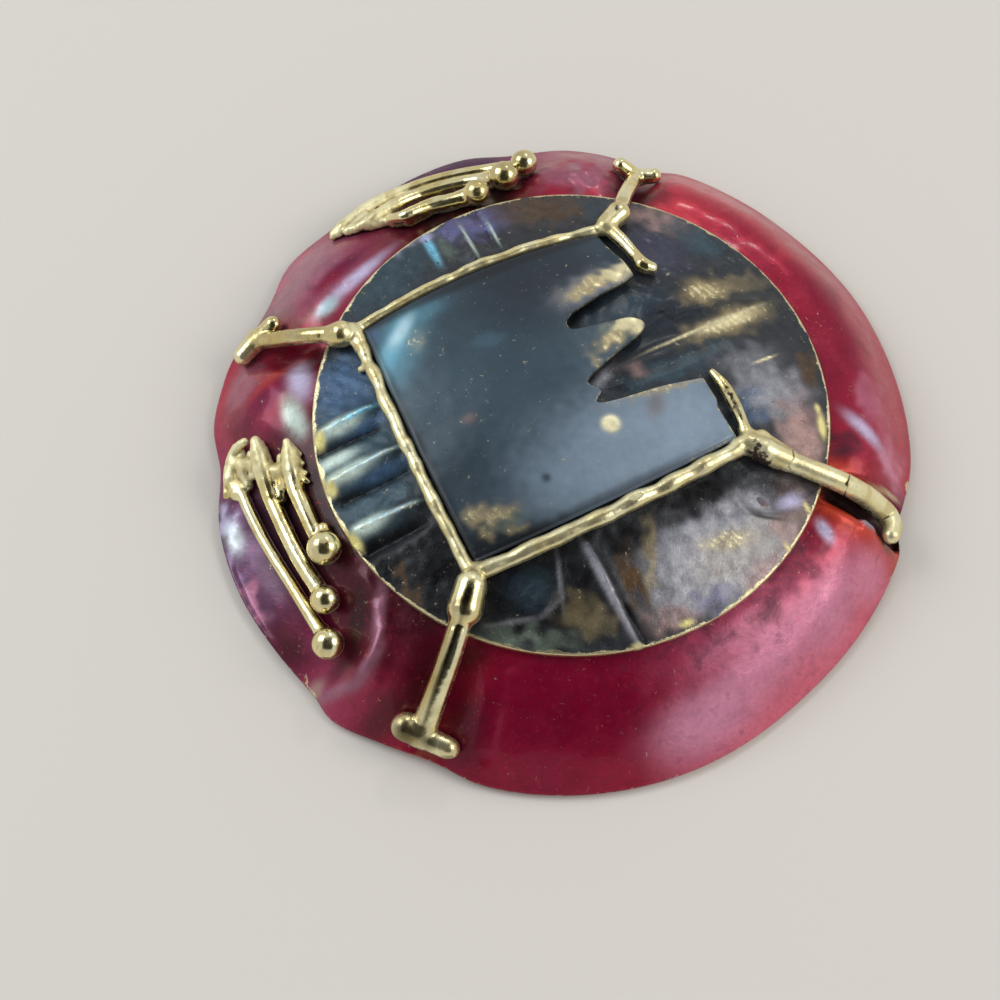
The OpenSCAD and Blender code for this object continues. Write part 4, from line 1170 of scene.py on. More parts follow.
def plate_place(u, v):
    """Bilinear place between the plate's corners plus the bows of its sides."""
    u, v = np.asarray(u, float)[..., None], np.asarray(v, float)[..., None]
    return (
        (1 - u) * (1 - v) * FRONT_CORNER
        + (1 - u) * v * LEFT_CORNER
        + u * (1 - v) * RIGHT_CORNER
        + u * v * BACK_CORNER
        + (1 - u) * bow(v) * LEFT_BOW * outward(FRONT_CORNER, LEFT_CORNER)
        + (1 - v) * bow(u) * FRONT_BOW * outward(FRONT_CORNER, RIGHT_CORNER)
        + v * bow(u) * BACK_BOW * outward(LEFT_CORNER, BACK_CORNER)
    )


def plate_top(u, v):
    """Height of the plate: dome + gap + thickness + pillow bow(u) bow(v) + lips."""
    place = plate_place(u, v)
    x, y = place[..., 0], place[..., 1]
    off = [((x - row.x) ** 2 + (y - row.y) ** 2) / row.half_width**2 for row in LIPS]
    lips = sum(row.height * np.exp(-far) for row, far in zip(LIPS, off))
    return disc_dome(x, y) + PLATE_GAP + PLATE_T + PLATE_PILLOW * bow(np.minimum(1, u)) * bow(v) + lips


def ring_faces(rings, spokes):
    """Quads between rings i, i + 1 and spokes k, k + 1 of a surface that closes round each ring."""
    i, k = np.meshgrid(np.arange(rings - 1), np.arange(spokes), indexing="ij")
    n = (k + 1) % spokes
    low, high = i * spokes, (i + 1) * spokes
    return np.stack([low + k, high + k, high + n, low + n], -1).reshape(-1, 4)


def fan_faces(centre, start, spokes, flip):
    """Triangles from a middle point to the ring whose first point is start."""
    k = np.arange(spokes)
    n = (k + 1) % spokes
    ends = (start + n, start + k) if flip else (start + k, start + n)
    return np.column_stack([np.full(spokes, centre), *ends])


def ladder_faces(start, n, flip):
    """Quads that close a flat ring of 2 n points, from point k to point 2 n - 1 - k."""
    k = np.arange(n - 1)
    quads = np.column_stack([start + k, start + k + 1, start + 2 * n - 2 - k, start + 2 * n - 1 - k])
    return quads[:, ::-1] if flip else quads


def capped_rings(rings):
    """Points, quads and triangles of a surface through rings (rings, spokes, 3), closed at both ends."""
    count, spokes = rings.shape[:2]
    points = np.concatenate([rings.reshape(-1, 3), rings[[0, -1]].mean(axis=1)])
    quads = ring_faces(count, spokes)
    last = count * spokes
    triangles = np.concatenate(
        [fan_faces(last, 0, spokes, False), fan_faces(last + 1, last - spokes, spokes, True)]
    )
    return points, quads, triangles


def outside_out(points, quads, triangles):
    """Faces turned so that the closed surface's volume, the sum of a . (b x c) / 6, is positive."""
    parts = [triangles, quads[:, [0, 1, 2]], quads[:, [0, 2, 3]]]
    every = np.concatenate([part for part in parts if len(part)])
    a, b, c = points[every[:, 0]], points[every[:, 1]], points[every[:, 2]]
    if np.einsum("ij,ij->", a, np.cross(b, c)) < 0:
        return quads[:, ::-1], triangles[:, ::-1]
    return quads, triangles


def make_mesh(name, points, quads, triangles):
    """A smooth mesh from points in the brooch's millimetres."""
    quads, triangles = outside_out(points, quads, triangles)
    mesh = bpy.data.meshes.new(name)
    mesh.vertices.add(len(points))
    mesh.vertices.foreach_set("co", ((points - MIDDLE) * MM).astype(np.float32).ravel())
    corners = np.concatenate([quads.ravel(), triangles.ravel()]).astype(np.int32)
    mesh.loops.add(len(corners))
    mesh.loops.foreach_set("vertex_index", corners)
    starts = np.concatenate([np.arange(len(quads)) * 4, len(quads) * 4 + np.arange(len(triangles)) * 3])
    mesh.polygons.add(len(starts))
    mesh.polygons.foreach_set("loop_start", starts.astype(np.int32))
    mesh.update(calc_edges=True)
    mesh.shade_smooth()
    return mesh


def read_points(mesh):
    """Points of a mesh in the brooch's millimetres."""
    flat = np.empty(len(mesh.vertices) * 3, np.float32)
    mesh.vertices.foreach_get("co", flat)
    return flat.reshape(-1, 3).astype(float) / MM + MIDDLE


def write_points(mesh, points):
    """Moves a mesh's points to places in the brooch's millimetres."""
    mesh.vertices.foreach_set("co", ((points - MIDDLE) * MM).astype(np.float32).ravel())
    mesh.update()


def read_normals(mesh):
    """Unit normals at a mesh's points."""
    flat = np.empty(len(mesh.vertices) * 3, np.float32)
    mesh.vertex_normals.foreach_get("vector", flat)
    return flat.reshape(-1, 3).astype(float)


def dress(mesh, tint, *masks):
    """Stores a tint and three masks for each point of a mesh, as light values."""
    for name, values in (("tint", tint), ("masks", np.column_stack(masks))):
        stored = np.ones((len(mesh.vertices), 4), np.float32)
        stored[:, :3] = values
        layer = mesh.attributes.new(name, "FLOAT_COLOR", "POINT")
        layer.data.foreach_set("color", stored.ravel())


def add_piece(name, mesh, node, material):
    """Links a finished piece that stands for a CAD node."""
    piece = bpy.data.objects.new(name, mesh)
    bpy.context.scene.collection.objects.link(piece)
    mesh.materials.append(material)
    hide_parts(node)
    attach(piece, "root")


def inside_box(points, node):
    """Points held within the CAD node's own box."""
    low, high = (np.array(corner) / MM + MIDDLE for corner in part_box(node))
    return np.clip(points, low, high)


def spot_weight(row, x, y):
    """strength * exp(-q^1.5), q = (u / length)^2 + (v / width)^2 along and across the spot's turned axes."""
    c, s = math.cos(math.radians(row.turn)), math.sin(math.radians(row.turn))
    u = (x - row.x) * c + (y - row.y) * s
    v = (y - row.y) * c - (x - row.x) * s
    q = (u / row.length) ** 2 + (v / row.width) ** 2
    return np.clip(row.strength * np.exp(-(q**1.5)), 0, 1)


def tinted(colour, name, weight):
    """Colours with a palette colour mixed in by weight."""
    w = np.reshape(weight, (-1, 1))
    return colour * (1 - w) + linear(PALETTE[name]) * w


def paint(colour, spots, x, y):
    """Lays spots over colours, each mixed in by its weight."""
    for row in spots:
        colour = tinted(colour, row.colour, spot_weight(row, x, y))
    return colour


def cover(spots, x, y):
    """The greatest weight of any spot."""
    return np.max([spot_weight(row, x, y) for row in spots], axis=0)


def of_colour(spots, *names):
    """The spots of the named colours."""
    return [row for row in spots if row.colour in names]


def plain_colour(name, count):
    """One palette colour for every point."""
    return np.tile(linear(PALETTE[name]), (count, 1))


def band_colour(table, column, a):
    """Colour at angle a, mixed between a table's neighbouring bands."""
    closed = [*table, table[0]]
    angles = np.array([row.angle for row in table] + [360 + table[0].angle], float)
    colours = np.array([linear(PALETTE[row[column]]) for row in closed])
    return np.column_stack([np.interp(np.mod(a, 360), angles, colours[:, k]) for k in range(3)])


def put(tree, socket, value):
    """Links a value's socket to a socket, or sets a constant on it."""
    if isinstance(value, bpy.types.NodeSocket):
        tree.links.new(value, socket)
    else:
        socket.default_value = value


def tree_node(tree, kind, links=None, **values):
    """A node with its settings made, its sockets set or linked by name."""
    made = tree.nodes.new(kind)
    for key, value in values.items():
        setattr(made, key, value)
    for key, value in (links or {}).items():
        put(tree, made.inputs[key], value)
    return made


def group_tree(name, inputs, output, kind="NodeSocketFloat"):
    """An empty node group: its tree, its input sockets with their usual values and its output's socket."""
    tree = bpy.data.node_groups.new(name, "ShaderNodeTree")
    for label, value in inputs.items():
        taken = "NodeSocketColor" if isinstance(value, tuple) else "NodeSocketFloat"
        tree.interface.new_socket(label, in_out="INPUT", socket_type=taken).default_value = value
    tree.interface.new_socket(output, in_out="OUTPUT", socket_type=kind)
    return tree, tree.nodes.new("NodeGroupInput").outputs, tree.nodes.new("NodeGroupOutput").inputs[0]


def use_group(tree, name, **links):
    """Output of an instance of a node group, its sockets set or linked."""
    made = tree_node(tree, "ShaderNodeGroup", node_tree=bpy.data.node_groups[name])
    for key, value in links.items():
        put(tree, made.inputs[key], value)
    return made.outputs[0]


def mix_colour(tree, factor, a, b, blend="MIX"):
    """Result socket of a colour mix."""
    made = tree_node(tree, "ShaderNodeMix", data_type="RGBA", blend_type=blend)
    for k, value in ((0, factor), (6, a), (7, b)):
        put(tree, made.inputs[k], value)
    return made.outputs[2]


def ranged(tree, value, low, high, to_low=0.0, to_high=1.0):
    """Result socket of a clamped map from low..high to another range."""
    links = {"Value": value, "From Min": low, "From Max": high, "To Min": to_low, "To Max": to_high}
    return tree_node(tree, "ShaderNodeMapRange", links).outputs["Result"]


def between(tree, share, low, high):
    """Result socket of low + share * (high - low)."""
    return ranged(tree, share, 0.0, 1.0, low, high)


def calculate(tree, kind, a, b):
    """Result socket of one operation."""
    made = tree_node(tree, "ShaderNodeMath", operation=kind)
    put(tree, made.inputs[0], a)
    put(tree, made.inputs[1], b)
    return made.outputs[0]


def times(tree, a, b):
    """Result socket of a product."""
    return calculate(tree, "MULTIPLY", a, b)


def plus(tree, a, b):
    """Result socket of a sum."""
    return calculate(tree, "ADD", a, b)


def object_place(tree):
    """Socket of the object's own coordinates, in metres."""
    return tree.nodes.new("ShaderNodeTexCoord").outputs["Object"]


def noise_factor(tree, scale, detail=4.0, roughness=0.55, distortion=0.0):
    """Noise over the object's own coordinates; scale counts features in a metre."""
    links = {
        "Vector": object_place(tree),
        "Scale": scale,
        "Detail": detail,
        "Roughness": roughness,
        "Distortion": distortion,
    }
    return tree_node(tree, "ShaderNodeTexNoise", links).outputs["Fac"]


def mottled_tint_group():
    """Tint in soft blotches and grains: mixed by Depth with noise from a dark to a light shade of it."""
    usual = {"Tint": (0.5, 0.5, 0.5, 1), "Depth": 0.3, "Scale": 600.0}
    tree, come, go = group_tree("Mottled Tint", usual, "Color", "NodeSocketColor")
    blotch = ranged(tree, noise_factor(tree, come["Scale"], 6.0, 0.62, 0.4), 0.34, 0.66)
    grain = ranged(tree, noise_factor(tree, times(tree, come["Scale"], 5.0), 3.0), 0.3, 0.7)
    both = plus(tree, times(tree, blotch, 0.65), times(tree, grain, 0.35))
    dark = mix_colour(tree, 1.0, come["Tint"], (0.32, 0.26, 0.30, 1), "MULTIPLY")
    light = mix_colour(tree, 1.0, come["Tint"], (1.4, 1.38, 1.36, 1), "MULTIPLY")
    spread = mix_colour(tree, both, dark, light)
    put(tree, go, mix_colour(tree, come["Depth"], come["Tint"], spread))


def flecks_group():
    """Mask of ragged flecks that grow with Amount: noise above 1 - Amount."""
    tree, come, go = group_tree("Flecks", {"Amount": 0.5, "Scale": 900.0, "Softness": 0.08}, "Mask")
    noise = ranged(tree, noise_factor(tree, come["Scale"], 8.0, 0.7, 0.6), 0.3, 0.7)
    edge = calculate(tree, "SUBTRACT", 1.0, come["Amount"])
    low = calculate(tree, "SUBTRACT", edge, come["Softness"])
    high = plus(tree, edge, come["Softness"])
    put(tree, go, ranged(tree, noise, low, high))


def hatch_group():
    """Mask of slanting strokes: sine bands along x + y + z, bent by noise."""
    tree, come, go = group_tree("Slanting Hatch", {"Scale": 760.0}, "Mask")
    links = {"Vector": object_place(tree), "Scale": come["Scale"], "Distortion": 3.5, "Detail": 3.0}
    bands = tree_node(tree, "ShaderNodeTexWave", links, wave_type="BANDS", bands_direction="DIAGONAL")
    put(tree, go, ranged(tree, bands.outputs["Fac"], 0.35, 0.7, 0.25, 1.0))


def gloss_group():
    """Roughness that wanders by Spread round Gloss."""
    tree, come, go = group_tree("Uneven Gloss", {"Gloss": 0.3, "Spread": 0.1, "Scale": 400.0}, "Roughness")
    noise = ranged(tree, noise_factor(tree, come["Scale"], 5.0), 0.3, 0.7, -1.0, 1.0)
    put(tree, go, plus(tree, come["Gloss"], times(tree, noise, come["Spread"])))


def relief_group():
    """Fine height of hammered, grainy metal: coarse noise plus Grain times fine noise."""
    tree, come, go = group_tree("Fine Relief", {"Scale": 900.0, "Grain": 0.3}, "Height")
    coarse = noise_factor(tree, come["Scale"], 3.0)
    fine = noise_factor(tree, times(tree, come["Scale"], 6.0), 4.0, 0.6)
    put(tree, go, plus(tree, coarse, times(tree, fine, come["Grain"])))


def new_material(name):
    """A material with only its output and Principled shader, its tree and the shader's sockets."""
    material = bpy.data.materials.new(name)
    material.use_nodes = True
    tree = material.node_tree
    tree.nodes.clear()
    shader = tree.nodes.new("ShaderNodeBsdfPrincipled")
    output = tree.nodes.new("ShaderNodeOutputMaterial")
    tree.links.new(shader.outputs["BSDF"], output.inputs["Surface"])
    return material, tree, shader.inputs


def stored_colours(tree):
    """Sockets of the tint and of the three masks that a piece's points store."""
    tint = tree_node(tree, "ShaderNodeAttribute", attribute_name="tint").outputs["Color"]
    masks = tree_node(tree, "ShaderNodeAttribute", attribute_name="masks").outputs["Color"]
    return tint, *tree_node(tree, "ShaderNodeSeparateColor", {"Color": masks}).outputs


def finish(tree, shader, values):
    """Sets or links the shader's sockets by name."""
    for name, value in values.items():
        put(tree, shader[name], value)


def bump(tree, scale, grain, distance, strength, share=1.0):
    """Normal socket of the fine relief, its height scaled by share where share is linked."""
    height = use_group(tree, "Fine Relief", Scale=scale, Grain=grain)
    if isinstance(share, bpy.types.NodeSocket):
        height = times(tree, height, share)
    links = {"Height": height, "Distance": distance, "Strength": strength}
    return tree_node(tree, "ShaderNodeBump", links).outputs["Normal"]


def scratched(tree, bare, plain, fleck_scale, hatch_scale, plain_full):
    """Mask of bare metal in slanting scratches, unbroken where plain rises from 0.05 to plain_full."""
    worn = use_group(tree, "Flecks", Amount=bare, Scale=fleck_scale, Softness=0.2)
    hatched = use_group(tree, "Slanting Hatch", Scale=hatch_scale)
    return times(tree, worn, calculate(tree, "MAXIMUM", hatched, ranged(tree, plain, 0.05, plain_full)))


def rgba(name):
    """A palette colour as a socket's value."""
    return (*linear(PALETTE[name]), 1.0)


def red_material():
    """Red heat patina under a clear gloss, with dark flecks of soot and of painted shade, and bare metal at
    the worn edges.
    """
    material, tree, shader = new_material("red_patina")
    tint, bare, soot_and_shade, dull = stored_colours(tree)
    colour = use_group(tree, "Mottled Tint", Tint=tint, Depth=0.34, Scale=420.0)
    darkened = use_group(tree, "Flecks", Amount=soot_and_shade, Scale=420.0, Softness=0.38)
    colour = mix_colour(tree, times(tree, darkened, 0.85), colour, rgba("soot_and_shade"))
    orange = use_group(tree, "Flecks", Amount=0.2, Scale=1500.0, Softness=0.1)
    colour = mix_colour(tree, times(tree, orange, 0.25), colour, rgba("coral"))
    worn = use_group(tree, "Flecks", Amount=bare, Scale=1800.0, Softness=0.15)
    gloss = between(tree, dull, 0.32, 0.5)
    values = {
        "Base Color": mix_colour(tree, worn, colour, rgba("pale_gold")),
        "Metallic": between(tree, worn, 0.4, 1.0),
        "Specular IOR Level": 0.3,
        "Roughness": use_group(tree, "Uneven Gloss", Gloss=gloss, Spread=0.08, Scale=500.0),
        "Coat Weight": between(tree, dull, 0.22, 0.08),
        "Coat Roughness": 0.11,
        "Normal": bump(tree, 900.0, 0.25, 0.0004, 0.12),
    }
    finish(tree, shader, values)
    return material


def bronze_material():
    """Dark brass with a satin patina, bare in slanting scratches, but plain at the rim and the solder, with
    painted shade in black flecks in the chased cuts and along the side wires.
    """
    material, tree, shader = new_material("dark_brass_patina")
    tint, bare, soot_and_shade, plain = stored_colours(tree)
    colour = use_group(tree, "Mottled Tint", Tint=tint, Depth=0.48, Scale=700.0)
    colour = mix_colour(tree, plain, colour, tint)
    darkened = use_group(tree, "Flecks", Amount=soot_and_shade, Scale=900.0, Softness=0.15)
    colour = mix_colour(tree, times(tree, darkened, 0.8), colour, rgba("black"))
    worn = scratched(tree, bare, plain, 1500.0, 760.0, 0.2)
    values = {
        "Base Color": mix_colour(tree, worn, colour, rgba("pale_gold")),
        "Metallic": between(tree, worn, 0.4, 1.0),
        "Specular IOR Level": 0.25,
        "Roughness": use_group(tree, "Uneven Gloss", Gloss=0.34, Spread=0.12, Scale=600.0),
        "Coat Weight": 0.15,
        "Coat Roughness": 0.2,
        "Normal": bump(tree, 1300.0, 0.5, 0.0004, 0.3),
    }
    finish(tree, shader, values)
    return material


def plate_material():
    """Near-black blue satin metal with worn gold lips and a plain gold rim along the tear, with painted
    shade in black along the side wires and on the underside.
    """
    material, tree, shader = new_material("blue_black_patina")
    tint, bare, soot_and_shade, rim = stored_colours(tree)
    colour = use_group(tree, "Mottled Tint", Tint=tint, Depth=0.2, Scale=300.0)
    worn = scratched(tree, bare, rim, 1700.0, 640.0, 0.3)
    colour = mix_colour(tree, worn, colour, rgba("pale_gold"))
    values = {
        "Base Color": mix_colour(tree, times(tree, soot_and_shade, 0.9), colour, rgba("black")),
        "Metallic": between(tree, worn, 0.35, 1.0),
        "Roughness": use_group(tree, "Uneven Gloss", Gloss=0.36, Spread=0.05, Scale=450.0),
        "Coat Weight": 0.2,
        "Coat Roughness": 0.25,
        "Normal": bump(tree, 1200.0, 0.3, 0.0002, 0.08),
    }
    finish(tree, shader, values)
    return material


def brass_material():
    """Bright brazed brass, satin at crusts, with brown grime in its crevices and brown painted shade low
    down and underneath.
    """
    material, tree, shader = new_material("brazed_brass")
    tint, grime_and_shade, _, crust = stored_colours(tree)
    colour = use_group(tree, "Mottled Tint", Tint=tint, Depth=0.15, Scale=900.0)
    dark = use_group(tree, "Flecks", Amount=grime_and_shade, Scale=1400.0, Softness=0.3)
    satin = plus(tree, between(tree, dark, 0.2, 0.5), between(tree, crust, 0.0, 0.24))
    metal = calculate(tree, "SUBTRACT", between(tree, dark, 1.0, 0.3), between(tree, crust, 0.0, 0.3))
    values = {
        "Base Color": mix_colour(tree, dark, colour, rgba("grime_and_shade")),
        "Metallic": metal,
        "Roughness": use_group(tree, "Uneven Gloss", Gloss=satin, Spread=0.05, Scale=700.0),
        "Normal": bump(tree, 1500.0, 0.2, 0.0003, 0.12, between(tree, crust, 0.6, 2.0)),
    }
    finish(tree, shader, values)
    return material


def steel_material():
    """Plain satin steel of the hidden pin."""
    material, tree, shader = new_material("pin_steel")
    values = {
        "Base Color": use_group(tree, "Mottled Tint", Tint=(0.56, 0.55, 0.53, 1), Depth=0.12, Scale=300.0),
        "Metallic": 1.0,
        "Roughness": use_group(tree, "Uneven Gloss", Gloss=0.3, Spread=0.06, Scale=500.0),
    }
    finish(tree, shader, values)
    return material


def turned_ring(spokes):
    """Angles of a ring's points in degrees and their unit directions."""
    a = np.arange(spokes) * 360 / spokes
    return a, np.column_stack([np.cos(np.radians(a)), np.sin(np.radians(a))])


def dish_rings(props):
    """Rings (share, angle): cap, flange z = flange_top + folds + hammering, edge, then the underside."""
    a, radial = turned_ring(props.spokes)

    def ring(r, z):
        return np.column_stack([radial * r[:, None], z])

    def hammered(t, r):
        flat = radial * r[:, None]
        x, y = flat.T
        fade = smoothstep(0.0, 0.12, t) * smoothstep(1.0, 0.93, t)
        wave = props.ripple_height / MM * uneven("dish_hammer", flat)
        return fade * (wave + folds(FOLDS, x, y, 2) + CUT_UPPER.height * in_cut(x, y))

    rings = [ring(share * shoulder(a), cap_z(share) + 0 * a) for share in (*CAP_SHARES, 0.97)]
    for t in np.linspace(0, FLANGE_END, props.rings):
        r = flange_r(t, a)
        rings.append(ring(r, flange_top(t, a) + hammered(t, r)))
    tilt = np.arctan(flange_fall(1, a))
    for depth, back in ((0.02, 0.02), (0.1, 0.0), (0.5, 0.0), (0.9, 0.0), (1.0, 0.0)):
        out = flange_r(1, a) - SHEET * depth * np.sin(tilt) - back * np.cos(tilt)
        rings.append(ring(out, flange_top(1, a) - SHEET * depth * np.cos(tilt) + back * np.sin(tilt)))
    for t in np.linspace(FLANGE_END, 0, UNDER_RINGS):
        tilt = np.arctan(flange_fall(t, a))
        rings.append(ring(flange_r(t, a) - SHEET * np.sin(tilt), flange_top(t, a) - SHEET * np.cos(tilt)))
    return rings + [ring(share * shoulder(a), cap_z(share) - SHEET + 0 * a) for share in CAP_SHARES[::-1]]


def dish_mesh(props):
    """Dish with its patina and painted light: colour bands by angle and share, spots and marks with painted
    sheen, glare and shade, painted shade in the cut and a sooty back.
    """
    points, quads, triangles = capped_rings(np.array(dish_rings(props)))
    points = inside_box(points, "dish")
    mesh = make_mesh("dish_body", points, quads, triangles)
    flat = points[:, :2]
    x, y = flat.T
    warp = uneven("dish_warp", flat)
    wx, wy = x + 0.5 * warp, y + uneven("dish_sway", flat)
    angle = np.degrees(np.arctan2(y, x))
    t = np.clip((np.hypot(x, y) - shoulder(angle)) / (rim_r(angle) - shoulder(angle)), 0, 1)
    mixed = smoothstep(0.1, 0.95, t + 0.05 * warp)[:, None]
    colour = band_colour(DISH_BANDS, 1, angle) * (1 - mixed) + band_colour(DISH_BANDS, 2, angle) * mixed
    colour = paint(paint(colour, DISH_SPOTS, wx, wy), DISH_MARKS, x, y)
    # Painted shade in the cut below the right strap: umber laid over the cut.
    cut = smoothstep(0.1, 0.7, in_cut(x, y) * smoothstep(23.4, 25.5, x))
    colour = paint(tinted(colour, "umber", cut), DISH_SOLDER, x, y)
    under = np.arange(len(x)) >= (len(CAP_SHARES) + props.rings + 5) * props.spokes
    colour = np.where(under[:, None], linear(PALETTE["umber"]) * 1.6, colour)
    bare = np.maximum(cover(DISH_BARE, wx, wy), 0.3 * smoothstep(FLANGE_END, 1.0, t))
    darkened = cover(DISH_SOOT_AND_SHADE, wx, wy)
    # Soot flecks from the spots, plus painted shade along the disc's edge, where t nears 0.
    soot_and_shade = np.clip(0.55 * darkened + 0.25 * smoothstep(0.09, 0.0, t), 0, 1)
    dress(mesh, colour, bare, soot_and_shade, np.clip(darkened + 0.8 * under + 0.7 * cut, 0, 1))
    return mesh


def dimple(x, y):
    """The dimple's fall and the lip that its lower side throws up."""
    off = np.hypot((x - DIMPLE_X) / DIMPLE_HALF_LENGTH, (y - DIMPLE_Y) / DIMPLE_HALF_WIDTH)
    lower_side = smoothstep(-7.6, -9.4, y + 0.25 * (x - DIMPLE_X))
    lip = 0.1 * lower_side * np.exp(-(((off - 1.08) / 0.14) ** 2))
    return lip - DIMPLE_DEPTH * smoothstep(1.0, 0.55, off)


def disc_mesh(props):
    """Disc as rings (radius, angle): z = dome + creases + hammering + dimple, then edge and underside."""
    radial = turned_ring(props.spokes)[1]

    def ring(r, down=None):
        flat = radial * r + [DISC_X, DISC_Y]
        x, y = flat.T
        if down is not None:
            return np.column_stack([flat, disc_dome(x, y) - down])
        fade = smoothstep(DISC_R, DISC_R - 0.5, r)
        raised = ridges(CHASING, x, y) + folds(PUNCHED, x, y, 1) + uneven("disc_hammer", flat)
        return np.column_stack([flat, disc_dome(x, y) + fade * raised + dimple(x, y)])

    rings = [ring(r) for r in np.linspace(0.5, 11.5, 12)]
    rings += [ring(r) for r in np.linspace(12, DISC_R - 0.1, props.rings)]
    rings += [ring(DISC_R - 0.03, 0.05), ring(DISC_R, 0.15), ring(DISC_R, 0.5), ring(DISC_R - 0.06, 0.66)]
    rings += [ring(r, DISC_T) for r in (DISC_R - 0.2, 22.0, 17.0, 10.0, 3.0)]
    points, quads, triangles = capped_rings(np.array(rings))
    points = inside_box(points, "disc")
    mesh = make_mesh("disc_body", points, quads, triangles)
    flat = points[:, :2]
    x, y = flat.T
    wx, wy = x + uneven("disc_warp", flat), y + uneven("disc_sway", flat)
    colour = paint(plain_colour("bronze", len(points)), DISC_SPOTS, wx, wy)
    colour = paint(colour, DISC_MARKS, x, y)
    edge = DISC_R - np.hypot(x - DISC_X, y - DISC_Y)
    width = 0.2 + 0.16 * smoothstep(-16.0, -22.0, x) + uneven("disc_rim", flat)
    lines = folds(PUNCHED, x, y, 1)
    bare = 1.1 * np.exp(-((edge / np.maximum(width, 0.08)) ** 4))
    bare = np.maximum(bare, 0.55 * smoothstep(0.17, 0.3, lines))
    bare = np.maximum(bare, cover(of_colour(DISC_MARKS, "old_gold", "pale_gold"), x, y))
    solder = cover(of_colour(DISC_MARKS, "spot_gold"), x, y)
    # Painted shade: black flecks in the punched cuts and along the plate's side wires.
    soot_and_shade = np.clip(-3.4 * (lines + 0.06), 0, 0.95)
    soot_and_shade = np.maximum(soot_and_shade, 0.5 * smoothstep(1.5, 0.4, wire_gap(x, y)))
    plain = np.maximum(solder, 0.3 * smoothstep(0.7, 0.5, edge))
    dress(mesh, colour, np.clip(bare * (1 - solder), 0, 1), soot_and_shade * (1 - solder), plain)
    return mesh


def wire_gap(x, y):
    """Distance to the nearest side wire of the plate."""
    sides = ((FRONT_CORNER, LEFT_CORNER), (FRONT_CORNER, RIGHT_CORNER), (LEFT_CORNER, BACK_CORNER))
    return np.min([segment_distance(Line(*a, *b, 0, 1), x, y) for a, b in sides], axis=0)


def torn_edge(rows_between):
    """Shares from front to back, and the share to the right at which the plate ends there, with jags."""
    back, right = np.array(TEAR).T
    gaps = [np.linspace(a, b, rows_between, endpoint=False) for a, b in zip(back, back[1:])]
    steps = np.concatenate([*gaps, [1.0]])
    jag = uneven("plate_tear", steps[:, None] * 30)
    jag = jag * smoothstep(0.25, 0.3, steps) * smoothstep(0.78, 0.72, steps)
    return steps, np.minimum(through(back, right, steps) + jag, 1.01)


def plate_mesh(props):
    """Plate as rows from front to back, each a loop over its top and back below, right edge torn."""
    front_side = np.linalg.norm(RIGHT_CORNER - FRONT_CORNER)
    left_side = np.linalg.norm(LEFT_CORNER - FRONT_CORNER)
    inset_u = (LEFT_WIRE_D / 2 + 2 * SEAT) / front_side
    inset_front = (FRONT_WIRE_D / 2 + 2 * SEAT) / left_side
    inset_back = (BACK_WIRE_D / 2 + 2 * SEAT) / left_side
    steps, tear = torn_edge(props.rows_between)
    n = props.columns
    across = 1 - (1 - np.linspace(0, 1, n)) ** 1.3
    u = inset_u + (tear[:, None] - 2 * inset_u) * across[None]
    v = np.broadcast_to((inset_front + steps * (1 - inset_front - inset_back))[:, None], u.shape)
    place = plate_place(u, v)
    top = plate_top(u, v)
    wave = uneven("plate_hammer", place.reshape(-1, 2)).reshape(u.shape)
    across_mm = across * front_side
    edge = np.minimum(across_mm[None], (across_mm[-1] - across_mm)[None] * tear[:, None])
    edge = np.minimum(edge, np.minimum(steps, 1 - steps)[:, None] * left_side)
    rounded = 0.12 * np.exp(-((edge / 0.12) ** 2))
    pit = PIT_DEPTH * np.exp(-(((place[..., 0] - PIT_X) ** 2 + (place[..., 1] - PIT_Y) ** 2) / 0.05))
    dot = DOT_RISE * smoothstep(0.75, 0.6, np.hypot(place[..., 0] - DOT_X, place[..., 1] - DOT_Y))
    upper = np.dstack([place, top + wave * smoothstep(0, 1.0, edge) - rounded + dot - pit])
    lower = np.dstack([place, top - PLATE_T])
    loops = np.concatenate([upper, lower[:, ::-1]], axis=1)
    last = (len(loops) - 1) * 2 * n
    ends = (ladder_faces(0, n, True), ladder_faces(last, n, False))
    quads = np.concatenate([ring_faces(len(loops), 2 * n), *ends])
    points = inside_box(loops.reshape(-1, 3), "plate")
    mesh = make_mesh("plate_body", points, quads, np.zeros((0, 3), int))
    flat = points[:, :2]
    x, y = flat.T
    wx, wy = x + uneven("plate_warp", flat), y + uneven("plate_sway", flat)
    colour = paint(plain_colour("plate_blue", len(points)), PLATE_SPOTS, wx, wy)
    colour = paint(colour, PLATE_MARKS, x, y)
    loop_edge = np.concatenate([edge, edge[:, ::-1]], axis=1).ravel()
    torn = np.concatenate([across[None] + 0 * edge, across[None, ::-1] + 0 * edge], axis=1).ravel()
    rim = np.exp(-((loop_edge / 0.16) ** 2)) * (torn > 0.8)
    bare = np.maximum(0.55 * cover(of_colour(PLATE_SPOTS, "old_gold", "pale_gold"), wx, wy), 0.45 * rim)
    # Painted shade: black along the side wires, and black over the plate's whole underside.
    soot_and_shade = 0.75 * smoothstep(0.9, 0.0, wire_gap(x, y) - 0.6)
    soot_and_shade = np.where(np.arange(len(x)) % (2 * n) < n, soot_and_shade, 1.0)
    dress(mesh, colour, bare, soot_and_shade, rim)
    return mesh


